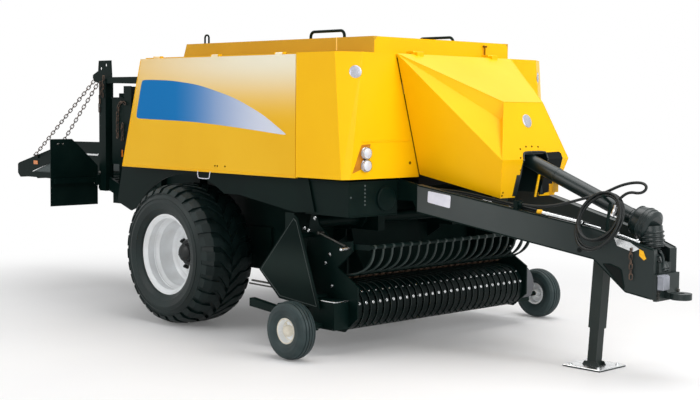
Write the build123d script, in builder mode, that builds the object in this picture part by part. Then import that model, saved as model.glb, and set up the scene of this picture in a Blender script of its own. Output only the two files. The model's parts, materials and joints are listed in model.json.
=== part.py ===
from build123d import *
import math
import os

# A large square baler: a towed farm machine that picks up a swath and presses it into square bales.
# The frame used below has x forward to the hitch, y to the left and z up, in millimetres.
# Its x is 0 at the main axle; the written parts are moved so that x is 0 at half the overall length.

# Running gear
TRACK = 2220  # between the middles of the main tyres
TYRE_R = 650
TYRE_W = 620
BEAD_R = 345  # where the main tyre sits on its rim
RIM_FLANGE_R = 372
RIM_DISC_Y = 60  # the wheel disc, inboard of the tyre's middle
TREAD_BARS = 30
TREAD_DEPTH = 26
AXLE_BEAM = 150
GAUGE_R = 235
GAUGE_W = 170
GAUGE_X = 2000
GAUGE_Y = 1600
GAUGE_RIM_R = 105

# Body panels
BODY_HALF = 1315
SHEET = 30  # a door or cover, with its folded edges
PANEL_LOW = 1430
PANEL_TOP = 2448
PANEL_FRONT = 1715
PANEL_REAR_LOW = -780
PANEL_REAR_TOP = -470
COVER_FRONT = 2295
DECK_TOP = 2460
DECK_THICK = 30
ROOF_TOP = 2600
ROOF_HALF = 860
ROOF_WALL = 20
SEAM_TOP_HALF = 735
SEAM_LOW_HALF = 440
SEAM_LOW_Z = 1460

# Bale chamber and its frame
CHAMBER_HALF = 400
CHAMBER_LOW = 1200
CHAMBER_HIGH = 2100
CHAMBER_WALL = 40
CHAMBER_REAR = -2120
CHAMBER_FRONT = 1500
MEMBER_LOW = 960
TOWER_HALF = 600
TOWER_PLATE = 16
POST_IN = 500
POST_OUT = 600
POST_REAR = -2262
POST_FRONT = -2138

# Drawbar, hitch and jack
BEAM_REAR_X = 2450
BEAM_REAR_Y = 600
BEAM_FRONT_X = 4400
BEAM_FRONT_Y = 120
BEAM_THICK = 70
EYE_X = 4550
EYE_Z = 640
EYE_R = 80
EYE_BORE_R = 26
EYE_THICK = 46
JACK_FOOT_X = 3790
JACK_LEAN = 3.93  # degrees, top forward
JACK_TUBE = 100
JACK_WALL = 9
JACK_LEG_TOP = 600
SLEEVE_LOW = 310
SLEEVE_HIGH = 905

# Drive shaft
SHAFT_R = 60
SHAFT_SLOPE = -0.393
SHAFT_X = 3310
SHAFT_Z = 1520
FLYWHEEL_X = 2320
FLYWHEEL_R = 400
FLYWHEEL_THICK = 90

# Pick-up
PIVOT_X = 1720
PIVOT_Z = 1060
PIVOT_R = 50
REEL_X = 2030
REEL_Z = 370
BAND_R = 190
BAND_THICK = 12
BAND_W = 52
BANDS = 27
PICKUP_HALF = 1090
END_PLATE = 16
SHIELD_Y = 1290
SHIELD_THICK = 12
TINE_R = 215
GUARD_PIVOT_X = 2150
GUARD_PIVOT_Z = 880
GUARD_BAR_X = 2350
GUARD_BAR_Z = 890
GUARD_TINES = 20

# Bale chute
CHUTE_HINGE_X = -2250
CHUTE_HINGE_Z = 1165
CHUTE_HALF = 480
CHUTE_REAR = -4190
CHUTE_PLATE = 12

# Running clearances
FIT = 0.3  # between pieces that turn or slide on each other
SIDE_HINGE_Y = 1277
SIDE_HINGE_Z = 2460
BARREL_R = 9
HOOD_HINGE_X = 2302
HOOD_HINGE_Z = 2474

AXLE_Z = TYRE_R
WHEEL_Y = TRACK / 2
CENTRE_X = (EYE_X + EYE_R + CHUTE_REAR) / 2
CHAMBER_OUT = CHAMBER_HALF + CHAMBER_WALL

os.makedirs("parts", exist_ok=True)


# Helpers
def block(x, y, z, mode=Mode.ADD):
    """A box, each side given as a (low, high) pair."""
    with Locations(tuple(sum(side) / 2 for side in (x, y, z))):
        Box(*[side[1] - side[0] for side in (x, y, z)], mode=mode)


def side_plate(points, y, mode=Mode.ADD):
    """A plate standing along the machine: its (x, z) outline, between two values of y."""
    with BuildSketch(Plane.XZ.offset(-y[1])) as outline:
        with BuildLine():
            Polyline(*points, close=True)
        make_face()
    extrude(outline.sketch, amount=y[1] - y[0], mode=mode)


def cross_plate(points, x, mode=Mode.ADD):
    """A plate standing across the machine: its (y, z) outline, between two values of x."""
    with BuildSketch(Plane.YZ.offset(x[0])) as outline:
        with BuildLine():
            Polyline(*points, close=True)
        make_face()
    extrude(outline.sketch, amount=x[1] - x[0], mode=mode)


def floor_plate(points, z, mode=Mode.ADD):
    """A level plate: its (x, y) outline, between two values of z."""
    with BuildSketch(Plane.XY.offset(z[0])) as outline:
        with BuildLine():
            Polyline(*points, close=True)
        make_face()
    extrude(outline.sketch, amount=z[1] - z[0], mode=mode)


def rod(start, end, radius, mode=Mode.ADD):
    """A round bar from one point to another."""
    run = Vector(*end) - Vector(*start)
    with BuildSketch(Plane(origin=start, z_dir=run)) as section:
        Circle(radius)
    extrude(section.sketch, amount=run.length, mode=mode)


def bent_rod(points, bend, radius):
    """A round bar bent round each inner point."""
    with BuildLine() as path:
        FilletPolyline(*points, radius=bend)
    with BuildSketch(Plane(origin=path.line @ 0, z_dir=path.line % 0)) as section:
        Circle(radius)
    sweep(section.sketch, path=path.line)


def faceted(faces):
    """A solid closed by flat faces, each a list of its corners."""
    return Solid(Shell([Face(Wire.make_polygon([Vector(*p) for p in face])) for face in faces]))


def write(part, name):
    """Moves a part to the middle of the machine's length and writes it."""
    placed = part.moved(Location((-CENTRE_X, 0, 0)))
    placed.label = name
    export_step(placed, f"parts/{name}.step")


def write_pair(part, name):
    """Writes a right-hand part and its mirror image on the left."""
    write(part, name + "_right")
    write(mirror(part, about=Plane.XZ), name + "_left")


# Main tyre: an arched carcass with two rows of chevron bars, one half a pitch behind the other
tyre_half = TYRE_W / 2
tread_r = TYRE_R - TREAD_DEPTH
bar_pitch = 360 / TREAD_BARS
# Columns: radius, across from the middle of the tyre
TYRE_WALL = [(BEAD_R + FIT, 235), (RIM_FLANGE_R + 0.4, 249), (RIM_FLANGE_R + 10, 268),
             (RIM_FLANGE_R + 52, tyre_half - 12), (RIM_FLANGE_R + 108, tyre_half), (tread_r - 100, tyre_half - 8),
             (tread_r - 55, 276), (tread_r, 190)]
# Columns: across from the middle of the tread, along the tread
BAR_OUTLINE = [(4, 62), (112, -62), (300, -84), (300, -2), (124, 20), (4, 146)]
with BuildPart() as tread_bar:
    with BuildSketch(Plane.XY.offset(tread_r - 58)):
        with BuildLine():
            Polyline(*[(along, across) for across, along in BAR_OUTLINE], close=True)
        make_face()
    extrude(amount=60 + TREAD_DEPTH)
    with BuildSketch(Plane.XY) as crown_half:
        with BuildLine():
            Polyline((TYRE_R, 0), (TYRE_R, 90), (TYRE_R - 12, 190), (TYRE_R - 40, 262), (TYRE_R - 84, 294),
                     (TYRE_R - 160, 304), (TYRE_R - 160, 0), close=True)
        make_face()
    revolve(crown_half.sketch, axis=Axis.Y, mode=Mode.INTERSECT)
far_bar = mirror(tread_bar.part, about=Plane.XZ)
bars = [tread_bar.part.rotate(Axis.Y, number * bar_pitch) for number in range(TREAD_BARS)]
bars += [far_bar.rotate(Axis.Y, (number + 0.5) * bar_pitch) for number in range(TREAD_BARS)]
with BuildPart() as tyre:
    with BuildSketch(Plane.XY):
        with BuildLine():
            Polyline(*[(radius, -across) for radius, across in TYRE_WALL],
                     *[(radius, across) for radius, across in TYRE_WALL[::-1]], close=True)
        make_face()
    revolve(axis=Axis.Y)
    add(bars)
write_pair(tyre.part.moved(Location((0, -WHEEL_Y, AXLE_Z))), "main_tyre")

# Main wheel: a deep rim whose disc bolts to the hub
with BuildPart() as rim:
    with BuildSketch(Plane.XY):
        with BuildLine():
            Polyline((RIM_FLANGE_R, -250), (BEAD_R, -236), (BEAD_R, -150), (BEAD_R - 30, -120),
                     (BEAD_R - 30, 120), (BEAD_R, 150), (BEAD_R, 236), (RIM_FLANGE_R, 250),
                     (RIM_FLANGE_R - 14, 250), (BEAD_R - 16, 224), (BEAD_R - 16, 145),
                     (BEAD_R - 44, 112), (BEAD_R - 44, RIM_DISC_Y + 14), (120, RIM_DISC_Y + 14),
                     (120, RIM_DISC_Y), (BEAD_R - 44, RIM_DISC_Y), (BEAD_R - 44, -112),
                     (BEAD_R - 16, -145), (BEAD_R - 16, -224), (RIM_FLANGE_R - 14, -250), close=True)
        make_face()
    revolve(axis=Axis.Y)
write_pair(rim.part.moved(Location((0, -WHEEL_Y, AXLE_Z))), "main_rim")

with BuildPart() as hub:
    with BuildSketch(Plane.XY):
        with BuildLine():
            Polyline((0, RIM_DISC_Y + 130), (110, RIM_DISC_Y + 130), (110, RIM_DISC_Y + 14),
                     (119.7, RIM_DISC_Y + 14), (119.7, RIM_DISC_Y - 24), (92, RIM_DISC_Y - 34),
                     (80, RIM_DISC_Y - 110), (0, RIM_DISC_Y - 110), close=True)
        make_face()
    revolve(axis=Axis.Y)
HUB_INNER_Y = WHEEL_Y - (RIM_DISC_Y + 130)
write_pair(hub.part.moved(Location((0, -WHEEL_Y, AXLE_Z))), "main_hub")

# Axle: a square beam hung under the side members, with a stub into each hub
with BuildPart() as axle:
    half_beam = AXLE_BEAM / 2
    block((-half_beam, half_beam), (-760, 760), (AXLE_Z - half_beam, AXLE_Z + half_beam))
    for side in (-1, 1):
        rod((0, side * 760, AXLE_Z), (0, side * (HUB_INNER_Y - FIT), AXLE_Z), 62)
        hanger = sorted([side * CHAMBER_OUT, side * (CHAMBER_OUT + 90)])
        side_plate([(-230, MEMBER_LOW), (230, MEMBER_LOW), (110, AXLE_Z), (-110, AXLE_Z)], hanger)
write(axle.part, "axle")

# Main frame: two side members, cross members, and the tower that the covers and pick-up hang on
member = (CHAMBER_OUT, CHAMBER_OUT + 80)
TOWER_FRONT = BEAM_REAR_X - 9  # the beams' slanting ends come back this far
with BuildPart() as main_frame:
    for side in (-1, 1):
        across = sorted(side * edge for edge in member)
        block((CHAMBER_REAR, 1900), across, (MEMBER_LOW, CHAMBER_LOW - CHAMBER_WALL))
        tower = sorted([side * TOWER_HALF, side * (TOWER_HALF + TOWER_PLATE)])
        side_plate([(1250, MEMBER_LOW), (1640, MEMBER_LOW), (1660, 990), (1790, 990), (1960, 1250),
                    (2390, 1250), (TOWER_FRONT, 1170), (TOWER_FRONT, 1392), (2240, 1425),
                    (2240, DECK_TOP - DECK_THICK), (1250, DECK_TOP - DECK_THICK)], tower)
        stanchion = sorted([side * (CHAMBER_OUT + 80), side * (TOWER_HALF + TOWER_PLATE)])
        block((-560, -470), stanchion, (MEMBER_LOW, DECK_TOP - DECK_THICK))
        block((1250, 1330), stanchion, (MEMBER_LOW, CHAMBER_LOW))
    for x in (CHAMBER_REAR, -1500, -700, 100, 560):
        block((x, x + 90), (-CHAMBER_OUT, CHAMBER_OUT), (MEMBER_LOW, MEMBER_LOW + 100))
    block((1650, 2150), (-TOWER_HALF, TOWER_HALF), (1250, 1350))
    block((2150, TOWER_FRONT), (-TOWER_HALF, TOWER_HALF), (1270, 1330))
    rod((PIVOT_X, FIT - PICKUP_HALF, PIVOT_Z), (PIVOT_X, PICKUP_HALF - FIT, PIVOT_Z), PIVOT_R)
write(main_frame.part, "main_frame")

# Feeder guards: plates that hang under the side members, over the feeder's drive
with BuildPart() as feeder_guard:
    side_plate([(230, 1150), (230, 500), (640, 500), (760, 560), (1180, 560), (1400, 780), (1600, 900),
                (1600, 958), (1245, 958), (1245, 1150)], (-616, -604))
    side_plate([(330, 640), (600, 640), (640, 720), (640, 900), (330, 900)], (-646, -615))
    rod((940, -615, 800), (940, -650, 800), 120)
    for x in (300, 1200):
        block((x, x + 40), (-605, -CHAMBER_OUT - 80 - FIT), (1000, 1060))
write_pair(feeder_guard.part, "feeder_guard")

# Bale chamber: the square channel that the bale is pressed through, open at the rear
high_out = CHAMBER_HIGH + CHAMBER_WALL
low_out = CHAMBER_LOW - CHAMBER_WALL
with BuildPart() as bale_chamber:
    block((CHAMBER_REAR, CHAMBER_FRONT), (-CHAMBER_OUT, CHAMBER_OUT), (low_out, high_out))
    block((CHAMBER_REAR, CHAMBER_FRONT - 40), (-CHAMBER_HALF, CHAMBER_HALF), (CHAMBER_LOW, CHAMBER_HIGH),
          mode=Mode.SUBTRACT)
write(bale_chamber.part, "bale_chamber")

# Press ring frames round the rear of the chamber, with the cylinders that squeeze its walls
RING = 70
with BuildPart() as press_frame:
    for x in (-1820, -1330):
        block((x, x + RING), (-CHAMBER_OUT - RING, CHAMBER_OUT + RING), (low_out, high_out + RING))
    block((-1821, -1259), (-CHAMBER_OUT, CHAMBER_OUT), (low_out - 1, high_out), mode=Mode.SUBTRACT)
    for side in (-1, 1):
        for z in (1400, 1800):
            rod((-1751, side * (CHAMBER_OUT + 38), z), (-1329, side * (CHAMBER_OUT + 38), z), 36)
write(press_frame.part, "press_frame")

# Plunger: the heavy ram inside the front of the chamber
with BuildPart() as plunger:
    block((760, 1300), (-CHAMBER_HALF + 15, CHAMBER_HALF - 15), (CHAMBER_LOW, CHAMBER_HIGH - 30))
write(plunger.part, "plunger")

# Gearbox on its cross member, with the flywheel on its input shaft


def shaft_at(x):
    """How high the middle of the drive shaft is."""
    return SHAFT_Z + (x - SHAFT_X) * SHAFT_SLOPE


FLYWHEEL_Z = shaft_at(FLYWHEEL_X + FLYWHEEL_THICK)
with BuildPart() as gearbox:
    block((1660, 2120), (-260, 260), (1350, 2000))
    rod((2120, 0, FLYWHEEL_Z), (FLYWHEEL_X, 0, FLYWHEEL_Z), 70)
    rod((FLYWHEEL_X, 0, FLYWHEEL_Z), (FLYWHEEL_X + FLYWHEEL_THICK, 0, FLYWHEEL_Z), FLYWHEEL_R)
write(gearbox.part, "gearbox")

# Drive shaft: a guarded tube from the flywheel, then a bell over the joint that rests on the nose
BELL_X = 4130
YOKE_X = 4290
YOKE_Z = 985
with BuildPart() as drive_shaft:
    start_x = FLYWHEEL_X + FLYWHEEL_THICK
    rod((start_x + 24, 0, shaft_at(start_x + 24)), (BELL_X, 0, shaft_at(BELL_X)), SHAFT_R)
    rod((start_x, 0, FLYWHEEL_Z), (start_x + 60, 0, FLYWHEEL_Z), SHAFT_R - 8)
write(drive_shaft.part, "drive_shaft")

slope_run = Vector(1, 0, SHAFT_SLOPE).normalized()
bell_start = Vector(BELL_X, 0, shaft_at(BELL_X))
# Columns: distance along the shaft, radius
BELL = [(0, 64), (18, 96), (36, 110), (105, 128), (170, 124), (185, 96), (185, 0), (0, 0)]
with BuildPart() as shaft_bell:
    with BuildSketch(Plane(origin=bell_start, x_dir=slope_run, z_dir=(0, 1, 0))):
        with BuildLine():
            Polyline(*[(along, radius) for along, radius in BELL], close=True)
        make_face()
    revolve(axis=Axis(bell_start, slope_run))
    knee = bell_start + slope_run * 150
    rod(tuple(knee), (YOKE_X, 0, YOKE_Z), 92)
    rod((YOKE_X, 0, YOKE_Z), (YOKE_X + 25, 0, YOKE_Z - 85), 58)
write(shaft_bell.part, "shaft_bell")

# Drawbar beams: two deep beams that converge on the nose
beam_run = Vector(BEAM_FRONT_X - BEAM_REAR_X, BEAM_REAR_Y - BEAM_FRONT_Y, 0)
beam_length = beam_run.length
# Columns: distance along the beam, height
BEAM_OUTLINE = [(0, 1160), (1545, 880), (1802, 650), (beam_length, 610), (beam_length, 980),
                (1545, 1110), (0, 1390)]
with BuildPart() as drawbar_beam:
    beam_side = Plane(origin=(BEAM_REAR_X, -BEAM_REAR_Y, 0), x_dir=beam_run,
                      z_dir=(beam_run.Y, -beam_run.X, 0))
    with BuildSketch(beam_side.offset(-BEAM_THICK / 2)):
        with BuildLine():
            Polyline(*BEAM_OUTLINE, close=True)
        make_face()
    extrude(amount=BEAM_THICK)
write_pair(drawbar_beam.part, "drawbar_beam")


def beam_inside(x):
    """How far the inner face of a drawbar beam is from the middle of the machine."""
    middle = BEAM_REAR_Y - (x - BEAM_REAR_X) * beam_run.Y / beam_run.X
    return middle - BEAM_THICK / 2 * beam_length / beam_run.X


# Nose: the box that the two beams close on, with the hitch plate and its eye
plate_x = BEAM_FRONT_X + BEAM_THICK / 2 * beam_run.Y / beam_length + FIT
with BuildPart() as hitch:
    floor_plate([(4130, -beam_inside(4130)), (plate_x, -beam_inside(plate_x)),
                 (plate_x, beam_inside(plate_x)), (4130, beam_inside(4130))], (720, 880))
    block((plate_x, plate_x + 28), (-155, 155), (600, 800))
    side_plate([(plate_x + 28, EYE_Z - 22), (plate_x + 28, EYE_Z + 60), (plate_x + 60, EYE_Z + 22),
                (EYE_X, EYE_Z + 22), (EYE_X, EYE_Z - 22)], (-50, 50))
    with Locations((EYE_X, 0, EYE_Z)):
        Cylinder(EYE_R, EYE_THICK)
        Cylinder(EYE_BORE_R, EYE_THICK * 2, mode=Mode.SUBTRACT)
write(hitch.part, "hitch")

# Parking jack: a square sleeve on a bridge between the beams, and the leg that slides in it
jack_plane = Plane(origin=(JACK_FOOT_X, 0, 0), x_dir=(0, 1, 0),
                   z_dir=(math.sin(math.radians(JACK_LEAN)), 0, math.cos(math.radians(JACK_LEAN))))
leg_side = JACK_TUBE - 2 * JACK_WALL - 2 * FIT
with BuildPart() as jack_sleeve:
    with BuildSketch(jack_plane.offset(SLEEVE_LOW)):
        Rectangle(JACK_TUBE, JACK_TUBE)
    extrude(amount=SLEEVE_HIGH - SLEEVE_LOW)
    floor_plate([(3765, -beam_inside(3765)), (3925, -beam_inside(3925)),
                 (3925, beam_inside(3925)), (3765, beam_inside(3765))], (905, 1000))
    with BuildSketch(jack_plane.offset(SLEEVE_LOW - 20)):
        Rectangle(JACK_TUBE - 2 * JACK_WALL, JACK_TUBE - 2 * JACK_WALL)
    extrude(amount=800, mode=Mode.SUBTRACT)
write(jack_sleeve.part, "jack_sleeve")

with BuildPart() as jack_leg:
    with BuildSketch(jack_plane):
        Rectangle(leg_side, leg_side)
    extrude(amount=JACK_LEG_TOP)
    block((JACK_FOOT_X - 200, JACK_FOOT_X + 200), (-200, 200), (-60, 0), mode=Mode.SUBTRACT)
    block((JACK_FOOT_X - 175, JACK_FOOT_X + 175), (-175, 175), (0, 14))
    for side in (-1, 1):
        side_plate([(JACK_FOOT_X - 80, 14), (JACK_FOOT_X + 80, 14), (JACK_FOOT_X + 60, 44),
                    (JACK_FOOT_X - 60, 44)], sorted([side * leg_side / 2, side * (leg_side / 2 + 8)]))
write(jack_leg.part, "jack_leg")

# Roof: a flat deck over the body and the raised cover in its middle, with hinge ears at its edges
DECK_HALF = 1255
DECK_FRONT = 2265
EAR = 22
BARREL = 80
SIDE_BARRELS = (-250, 610, 1470)
HOOD_BARRELS = (-480, 480)
with BuildPart() as roof:
    floor_plate([(PANEL_REAR_TOP, -DECK_HALF), (2130, -DECK_HALF), (DECK_FRONT, -1050), (DECK_FRONT, 1050),
                 (2130, DECK_HALF), (PANEL_REAR_TOP, DECK_HALF)], (DECK_TOP - DECK_THICK, DECK_TOP))
    with BuildSketch(Plane.XZ.offset(-ROOF_HALF)) as cover_end:
        with BuildLine():
            Polyline((-410, DECK_TOP), (-350, ROOF_TOP), (2170, ROOF_TOP), (2170, DECK_TOP), close=True)
        make_face()
    extrude(cover_end.sketch, amount=2 * ROOF_HALF)
    chamfer(roof.edges().filter_by(Axis.X).group_by(Axis.Z)[-1], length=40)
    block((-340, 2170 - ROOF_WALL), (2 * ROOF_WALL - ROOF_HALF, ROOF_HALF - 2 * ROOF_WALL),
          (DECK_TOP - DECK_THICK - 1, ROOF_TOP - ROOF_WALL), mode=Mode.SUBTRACT)
    for side in (-1, 1):
        ear_y = sorted([side * DECK_HALF, side * (SIDE_HINGE_Y + 3)])
        for x in SIDE_BARRELS:
            for end in (-1, 1):
                near, far = BARREL / 2 + FIT, BARREL / 2 + FIT + EAR
                block(sorted([x + end * near, x + end * far]), ear_y, (SIDE_HINGE_Z - 10, SIDE_HINGE_Z + 10))
    for y in HOOD_BARRELS:
        for end in (-1, 1):
            near, far = BARREL / 2 + FIT, BARREL / 2 + FIT + EAR
            wide = sorted([y + end * near, y + end * far])
            block((2230, 2262), wide, (DECK_TOP, HOOD_HINGE_Z + BARREL_R))
            block((2261, HOOD_HINGE_X), wide, (HOOD_HINGE_Z - BARREL_R, HOOD_HINGE_Z + BARREL_R))
            rod((HOOD_HINGE_X, wide[0], HOOD_HINGE_Z), (HOOD_HINGE_X, wide[1], HOOD_HINGE_Z), BARREL_R)
write(roof.part, "roof")

# Grab rails on the roof
with BuildPart() as roof_rails:
    for y in (-700, 700):
        bent_rod([(1225, y, ROOF_TOP), (1225, y, ROOF_TOP + 70), (1650, y, ROOF_TOP + 70),
                  (1650, y, ROOF_TOP)], 45, 13)
        bent_rod([(-280, y, ROOF_TOP), (-280, y, ROOF_TOP + 90), (-220, y, ROOF_TOP + 90),
                  (-220, y, ROOF_TOP)], 26, 9)
write(roof_rails.part, "roof_rails")

# Side door: it hangs from barrels along its top edge and swings up and out
with BuildPart() as side_door:
    side_plate([(PANEL_REAR_LOW, PANEL_LOW), (PANEL_FRONT, PANEL_LOW), (PANEL_FRONT, PANEL_TOP),
                (PANEL_REAR_TOP, PANEL_TOP)], (-BODY_HALF, SHEET - BODY_HALF))
    inner = SHEET - BODY_HALF
    side_plate([(PANEL_REAR_LOW + 40, PANEL_LOW + 30), (PANEL_FRONT - 30, PANEL_LOW + 30),
                (PANEL_FRONT - 30, PANEL_TOP - 30), (PANEL_REAR_TOP + 40, PANEL_TOP - 30)],
               (inner - SHEET + 4, inner), mode=Mode.SUBTRACT)
    for x in SIDE_BARRELS:
        ends = (x - BARREL / 2, x + BARREL / 2)
        block(ends, (inner - 6, -SIDE_HINGE_Y + 2), (PANEL_TOP - 28, SIDE_HINGE_Z))
        rod((ends[0], -SIDE_HINGE_Y, SIDE_HINGE_Z), (ends[1], -SIDE_HINGE_Y, SIDE_HINGE_Z), BARREL_R)
write_pair(side_door.part, "side_door")

# Corner cover: a folded shell from the side to the hood's seam, chamfered to a point at the bottom
COVER_LOW = 1440
COVER_REAR = PANEL_FRONT + 8


def cover_corners(inset):
    """The outline of the corner cover at its foot and at its head, moved inwards by a wall."""
    side, front = -BODY_HALF + inset, COVER_FRONT - inset
    foot = [(COVER_REAR, side, COVER_LOW), (2265 - inset, side, COVER_LOW),
            (front, side + 70, COVER_LOW), (front, -SEAM_LOW_HALF, COVER_LOW)]
    head = [(COVER_REAR, side, DECK_TOP), (2180 - inset, side, DECK_TOP),
            (front, side + 200, DECK_TOP), (front, -SEAM_TOP_HALF, DECK_TOP)]
    return foot, head


foot, head = cover_corners(0)
foot_in, head_in = cover_corners(SHEET)
ring_low = foot + foot_in[::-1]
ring_high = head + head_in[::-1]
cover_faces = [ring_low[::-1], ring_high]
for here in range(8):
    there = (here + 1) % 8
    cover_faces.append([ring_low[here], ring_low[there], ring_high[there]])
    cover_faces.append([ring_low[here], ring_high[there], ring_high[here]])
with BuildPart() as corner_cover:
    add(faceted(cover_faces))
write_pair(corner_cover.part, "corner_cover")


# Front hood: a faceted shell over the flywheel, open behind and below, hinged at its top edge
def hood_corners(wall):
    """The hood's corners on the right, moved inwards by a wall; the rear and foot stay open."""
    rear = HOOD_REAR
    slope = (HOOD_FOOT_Z - SEAM_LOW_Z) / (HOOD_FOOT_X - rear)
    foot_x = HOOD_FOOT_X - wall
    return {
        "top": (rear, wall - SEAM_TOP_HALF, DECK_TOP - wall),
        "seam": (rear, wall - SEAM_LOW_HALF, SEAM_LOW_Z),
        "brow": (3040 - wall, wall - 255, 2070 - wall),
        "fold": (3035 - wall, wall - 268, 1930),
        "chin": (3180 - wall, wall - 433, 1610),
        "foot": (foot_x, wall - 350, SEAM_LOW_Z + (foot_x - rear) * slope),
    }


HOOD_REAR = 2305
HOOD_FOOT_X = 3100
HOOD_FOOT_Z = 1300
HOOD_WALL = 24


def hood_solid(wall):
    """The closed solid between the hood's corners."""
    right = hood_corners(wall)
    left = {name: (x, -y, z) for name, (x, y, z) in right.items()}
    r, l = right, left
    faces = [
        [r["top"], l["top"], l["brow"], r["brow"]],
        [r["brow"], l["brow"], l["chin"], r["chin"]],
        [r["chin"], l["chin"], l["foot"], r["foot"]],
        [r["seam"], r["foot"], l["foot"], l["seam"]],
        [r["top"], r["seam"], l["seam"], l["top"]],
    ]
    for s in (right, left):
        faces += [[s["top"], s["brow"], s["fold"]], [s["top"], s["fold"], s["chin"]],
                  [s["brow"], s["chin"], s["fold"]], [s["top"], s["chin"], s["seam"]],
                  [s["seam"], s["chin"], s["foot"]]]
    return faceted(faces)


NOTCH_HALF = 165
NOTCH_TOP = 1670
with BuildPart() as front_hood:
    add(hood_solid(0))
    add(hood_solid(HOOD_WALL), mode=Mode.SUBTRACT)
    with BuildSketch(Plane.YZ.offset(2800)):
        with Locations((0, (NOTCH_TOP + 1200) / 2)):
            RectangleRounded(2 * NOTCH_HALF, NOTCH_TOP - 1200, 55)
    extrude(amount=500, mode=Mode.SUBTRACT)
    for y in HOOD_BARRELS:
        ends = (y - BARREL / 2, y + BARREL / 2)
        block((HOOD_HINGE_X, HOOD_REAR + 30), ends, (DECK_TOP - 22, HOOD_HINGE_Z))
        rod((HOOD_HINGE_X, ends[0], HOOD_HINGE_Z), (HOOD_HINGE_X, ends[1], HOOD_HINGE_Z), BARREL_R)
write(front_hood.part, "front_hood")

# Fender: the dark skirt under the side door, arched over the wheel, with its deck
FENDER_Y = 1200
DECK_LOW = 1405
with BuildPart() as fender:
    with BuildSketch(Plane.XZ.offset(FENDER_Y)) as skirt:
        with BuildLine():
            arch = ThreePointArc((-700, 1030), (0, 1385), (640, 1240))
            Polyline(arch @ 1, (860, 1240), (1590, 1135), (1830, 1150), (1750, 1425), (-942, 1425),
                     (-1030, 1071), (-797, 996), arch @ 0)
        make_face()
    extrude(skirt.sketch, amount=-12)
    block((-942, 2235), (12 - FENDER_Y, -TOWER_HALF - TOWER_PLATE), (DECK_LOW, DECK_LOW + 14))
write_pair(fender.part, "fender")

# Rear posts with their stays, which carry the chute and its chains
HOOKS = [(-2424, 2318), (-2382, 2276)]  # x and z of the outer and inner chains' pins
HOOK_R = 7
with BuildPart() as rear_frame:
    for side in (-1, 1):
        across = sorted([side * POST_IN, side * POST_OUT])
        block((POST_REAR, POST_FRONT), across, (1090, 2290))
        block((CHUTE_HINGE_X - 45, POST_REAR + 1), sorted([side * POST_IN, side * (POST_OUT - 10)]),
              (CHUTE_HINGE_Z - 60, CHUTE_HINGE_Z + 60))
        web_in = 545
        web = sorted([side * web_in, side * (web_in + 16)])
        side_plate([(-2300, 2246), (-2082, 2250), (-2100, 2490), (-2325, 2490), (-2338, 2380),
                    (-2440, 2336), (-2440, 2302), (-2396, 2260)], web)
        for x, z in HOOKS:
            rod((x, side * POST_IN, z), (x, side * (web_in + 1), z), HOOK_R)
        for x, z in ((-2285, 2405), (-2190, 2440)):
            rod((x, web[0] - 1, z), (x, web[1] + 1, z), 20, mode=Mode.SUBTRACT)
        block((POST_FRONT - 1, -560), sorted([side * 530, side * 590]), (2245, 2310))
        stay = sorted([side * 530, side * 560])
        side_plate([(POST_FRONT - 1, 1095), (POST_FRONT - 1, 1240), (-1700, 1080), (-1700, 960)], stay)
        block((-1750, -1640), sorted([side * (CHAMBER_OUT + 80), side * 560]), (MEMBER_LOW, 1080))
    block((-2035, -1965), (-535, 535), (2245, 2310))  # ahead of the folded chute's sides
write(rear_frame.part, "rear_frame")

# Light boards beside the posts
# Columns: across, height
BOARD = [(POST_OUT, 940), (POST_OUT, 1360), (850, 1590), (920, 1650), (1180, 1650), (1180, 940)]
with BuildPart() as light_boards:
    for side in (-1, 1):
        cross_plate([(side * y, z) for y, z in BOARD], (-2306, -2294))
        block((-2294, -2262 + 2), sorted([side * (POST_OUT + 0.3), side * 1150]), (1180, 1230))
        block((-2294, -2240), sorted([side * (POST_OUT + 0.3), side * 640]), (1150, 1260))
write(light_boards.part, "light_boards")

# Needle yoke under the chamber, parked with its needles below the floor
with BuildPart() as needle_yoke:
    for side in (-1, 1):
        arm = sorted([side * 528, side * 548])
        side_plate([(930, 1075), (1010, 1075), (1040, 980), (760, 560), (690, 560), (690, 620)], arm)
        rod((980, side * (CHAMBER_OUT + 80), 1040), (980, side * 528, 1040), 30)
    rod((730, -528, 600), (730, 528, 600), 38)
    for y in (-300, -150, 0, 150, 300):
        with BuildSketch(Plane.XZ.offset(-y - 6)) as needle:
            with BuildLine():
                outer = ThreePointArc((700, 600), (860, 905), (1090, 1030))
                inner_arc = ThreePointArc((1100, 1000), (890, 870), (760, 600))
                Line(outer @ 1, inner_arc @ 0)
                Line(inner_arc @ 1, outer @ 0)
            make_face()
        extrude(needle.sketch, amount=12)
write(needle_yoke.part, "needle_yoke")

# Stuffer housing: the curved duct from the pick-up to the chamber floor
with BuildPart() as stuffer_housing:
    with BuildSketch(Plane.XZ.offset(-430)) as duct:
        with BuildLine():
            front = ThreePointArc((1680, 560), (1550, 740), (1480, low_out))
            Line(front @ 1, (1180, low_out))
            back = ThreePointArc((1180, low_out), (1230, 680), (1440, 420))
            Polyline(back @ 1, (1640, 360), front @ 0)
        make_face()
    extrude(duct.sketch, amount=860)
write(stuffer_housing.part, "stuffer_housing")

# Lamps on the corner covers and the light boards
with BuildPart() as lamps:
    for side in (-1, 1):
        for z in (1550, 1650):
            rod((COVER_FRONT, side * 1080, z), (COVER_FRONT + 28, side * 1080, z), 44)
        block((-2330, -2306), sorted([side * 960, side * 1140]), (1400, 1490))
write(lamps.part, "lamps")

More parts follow.
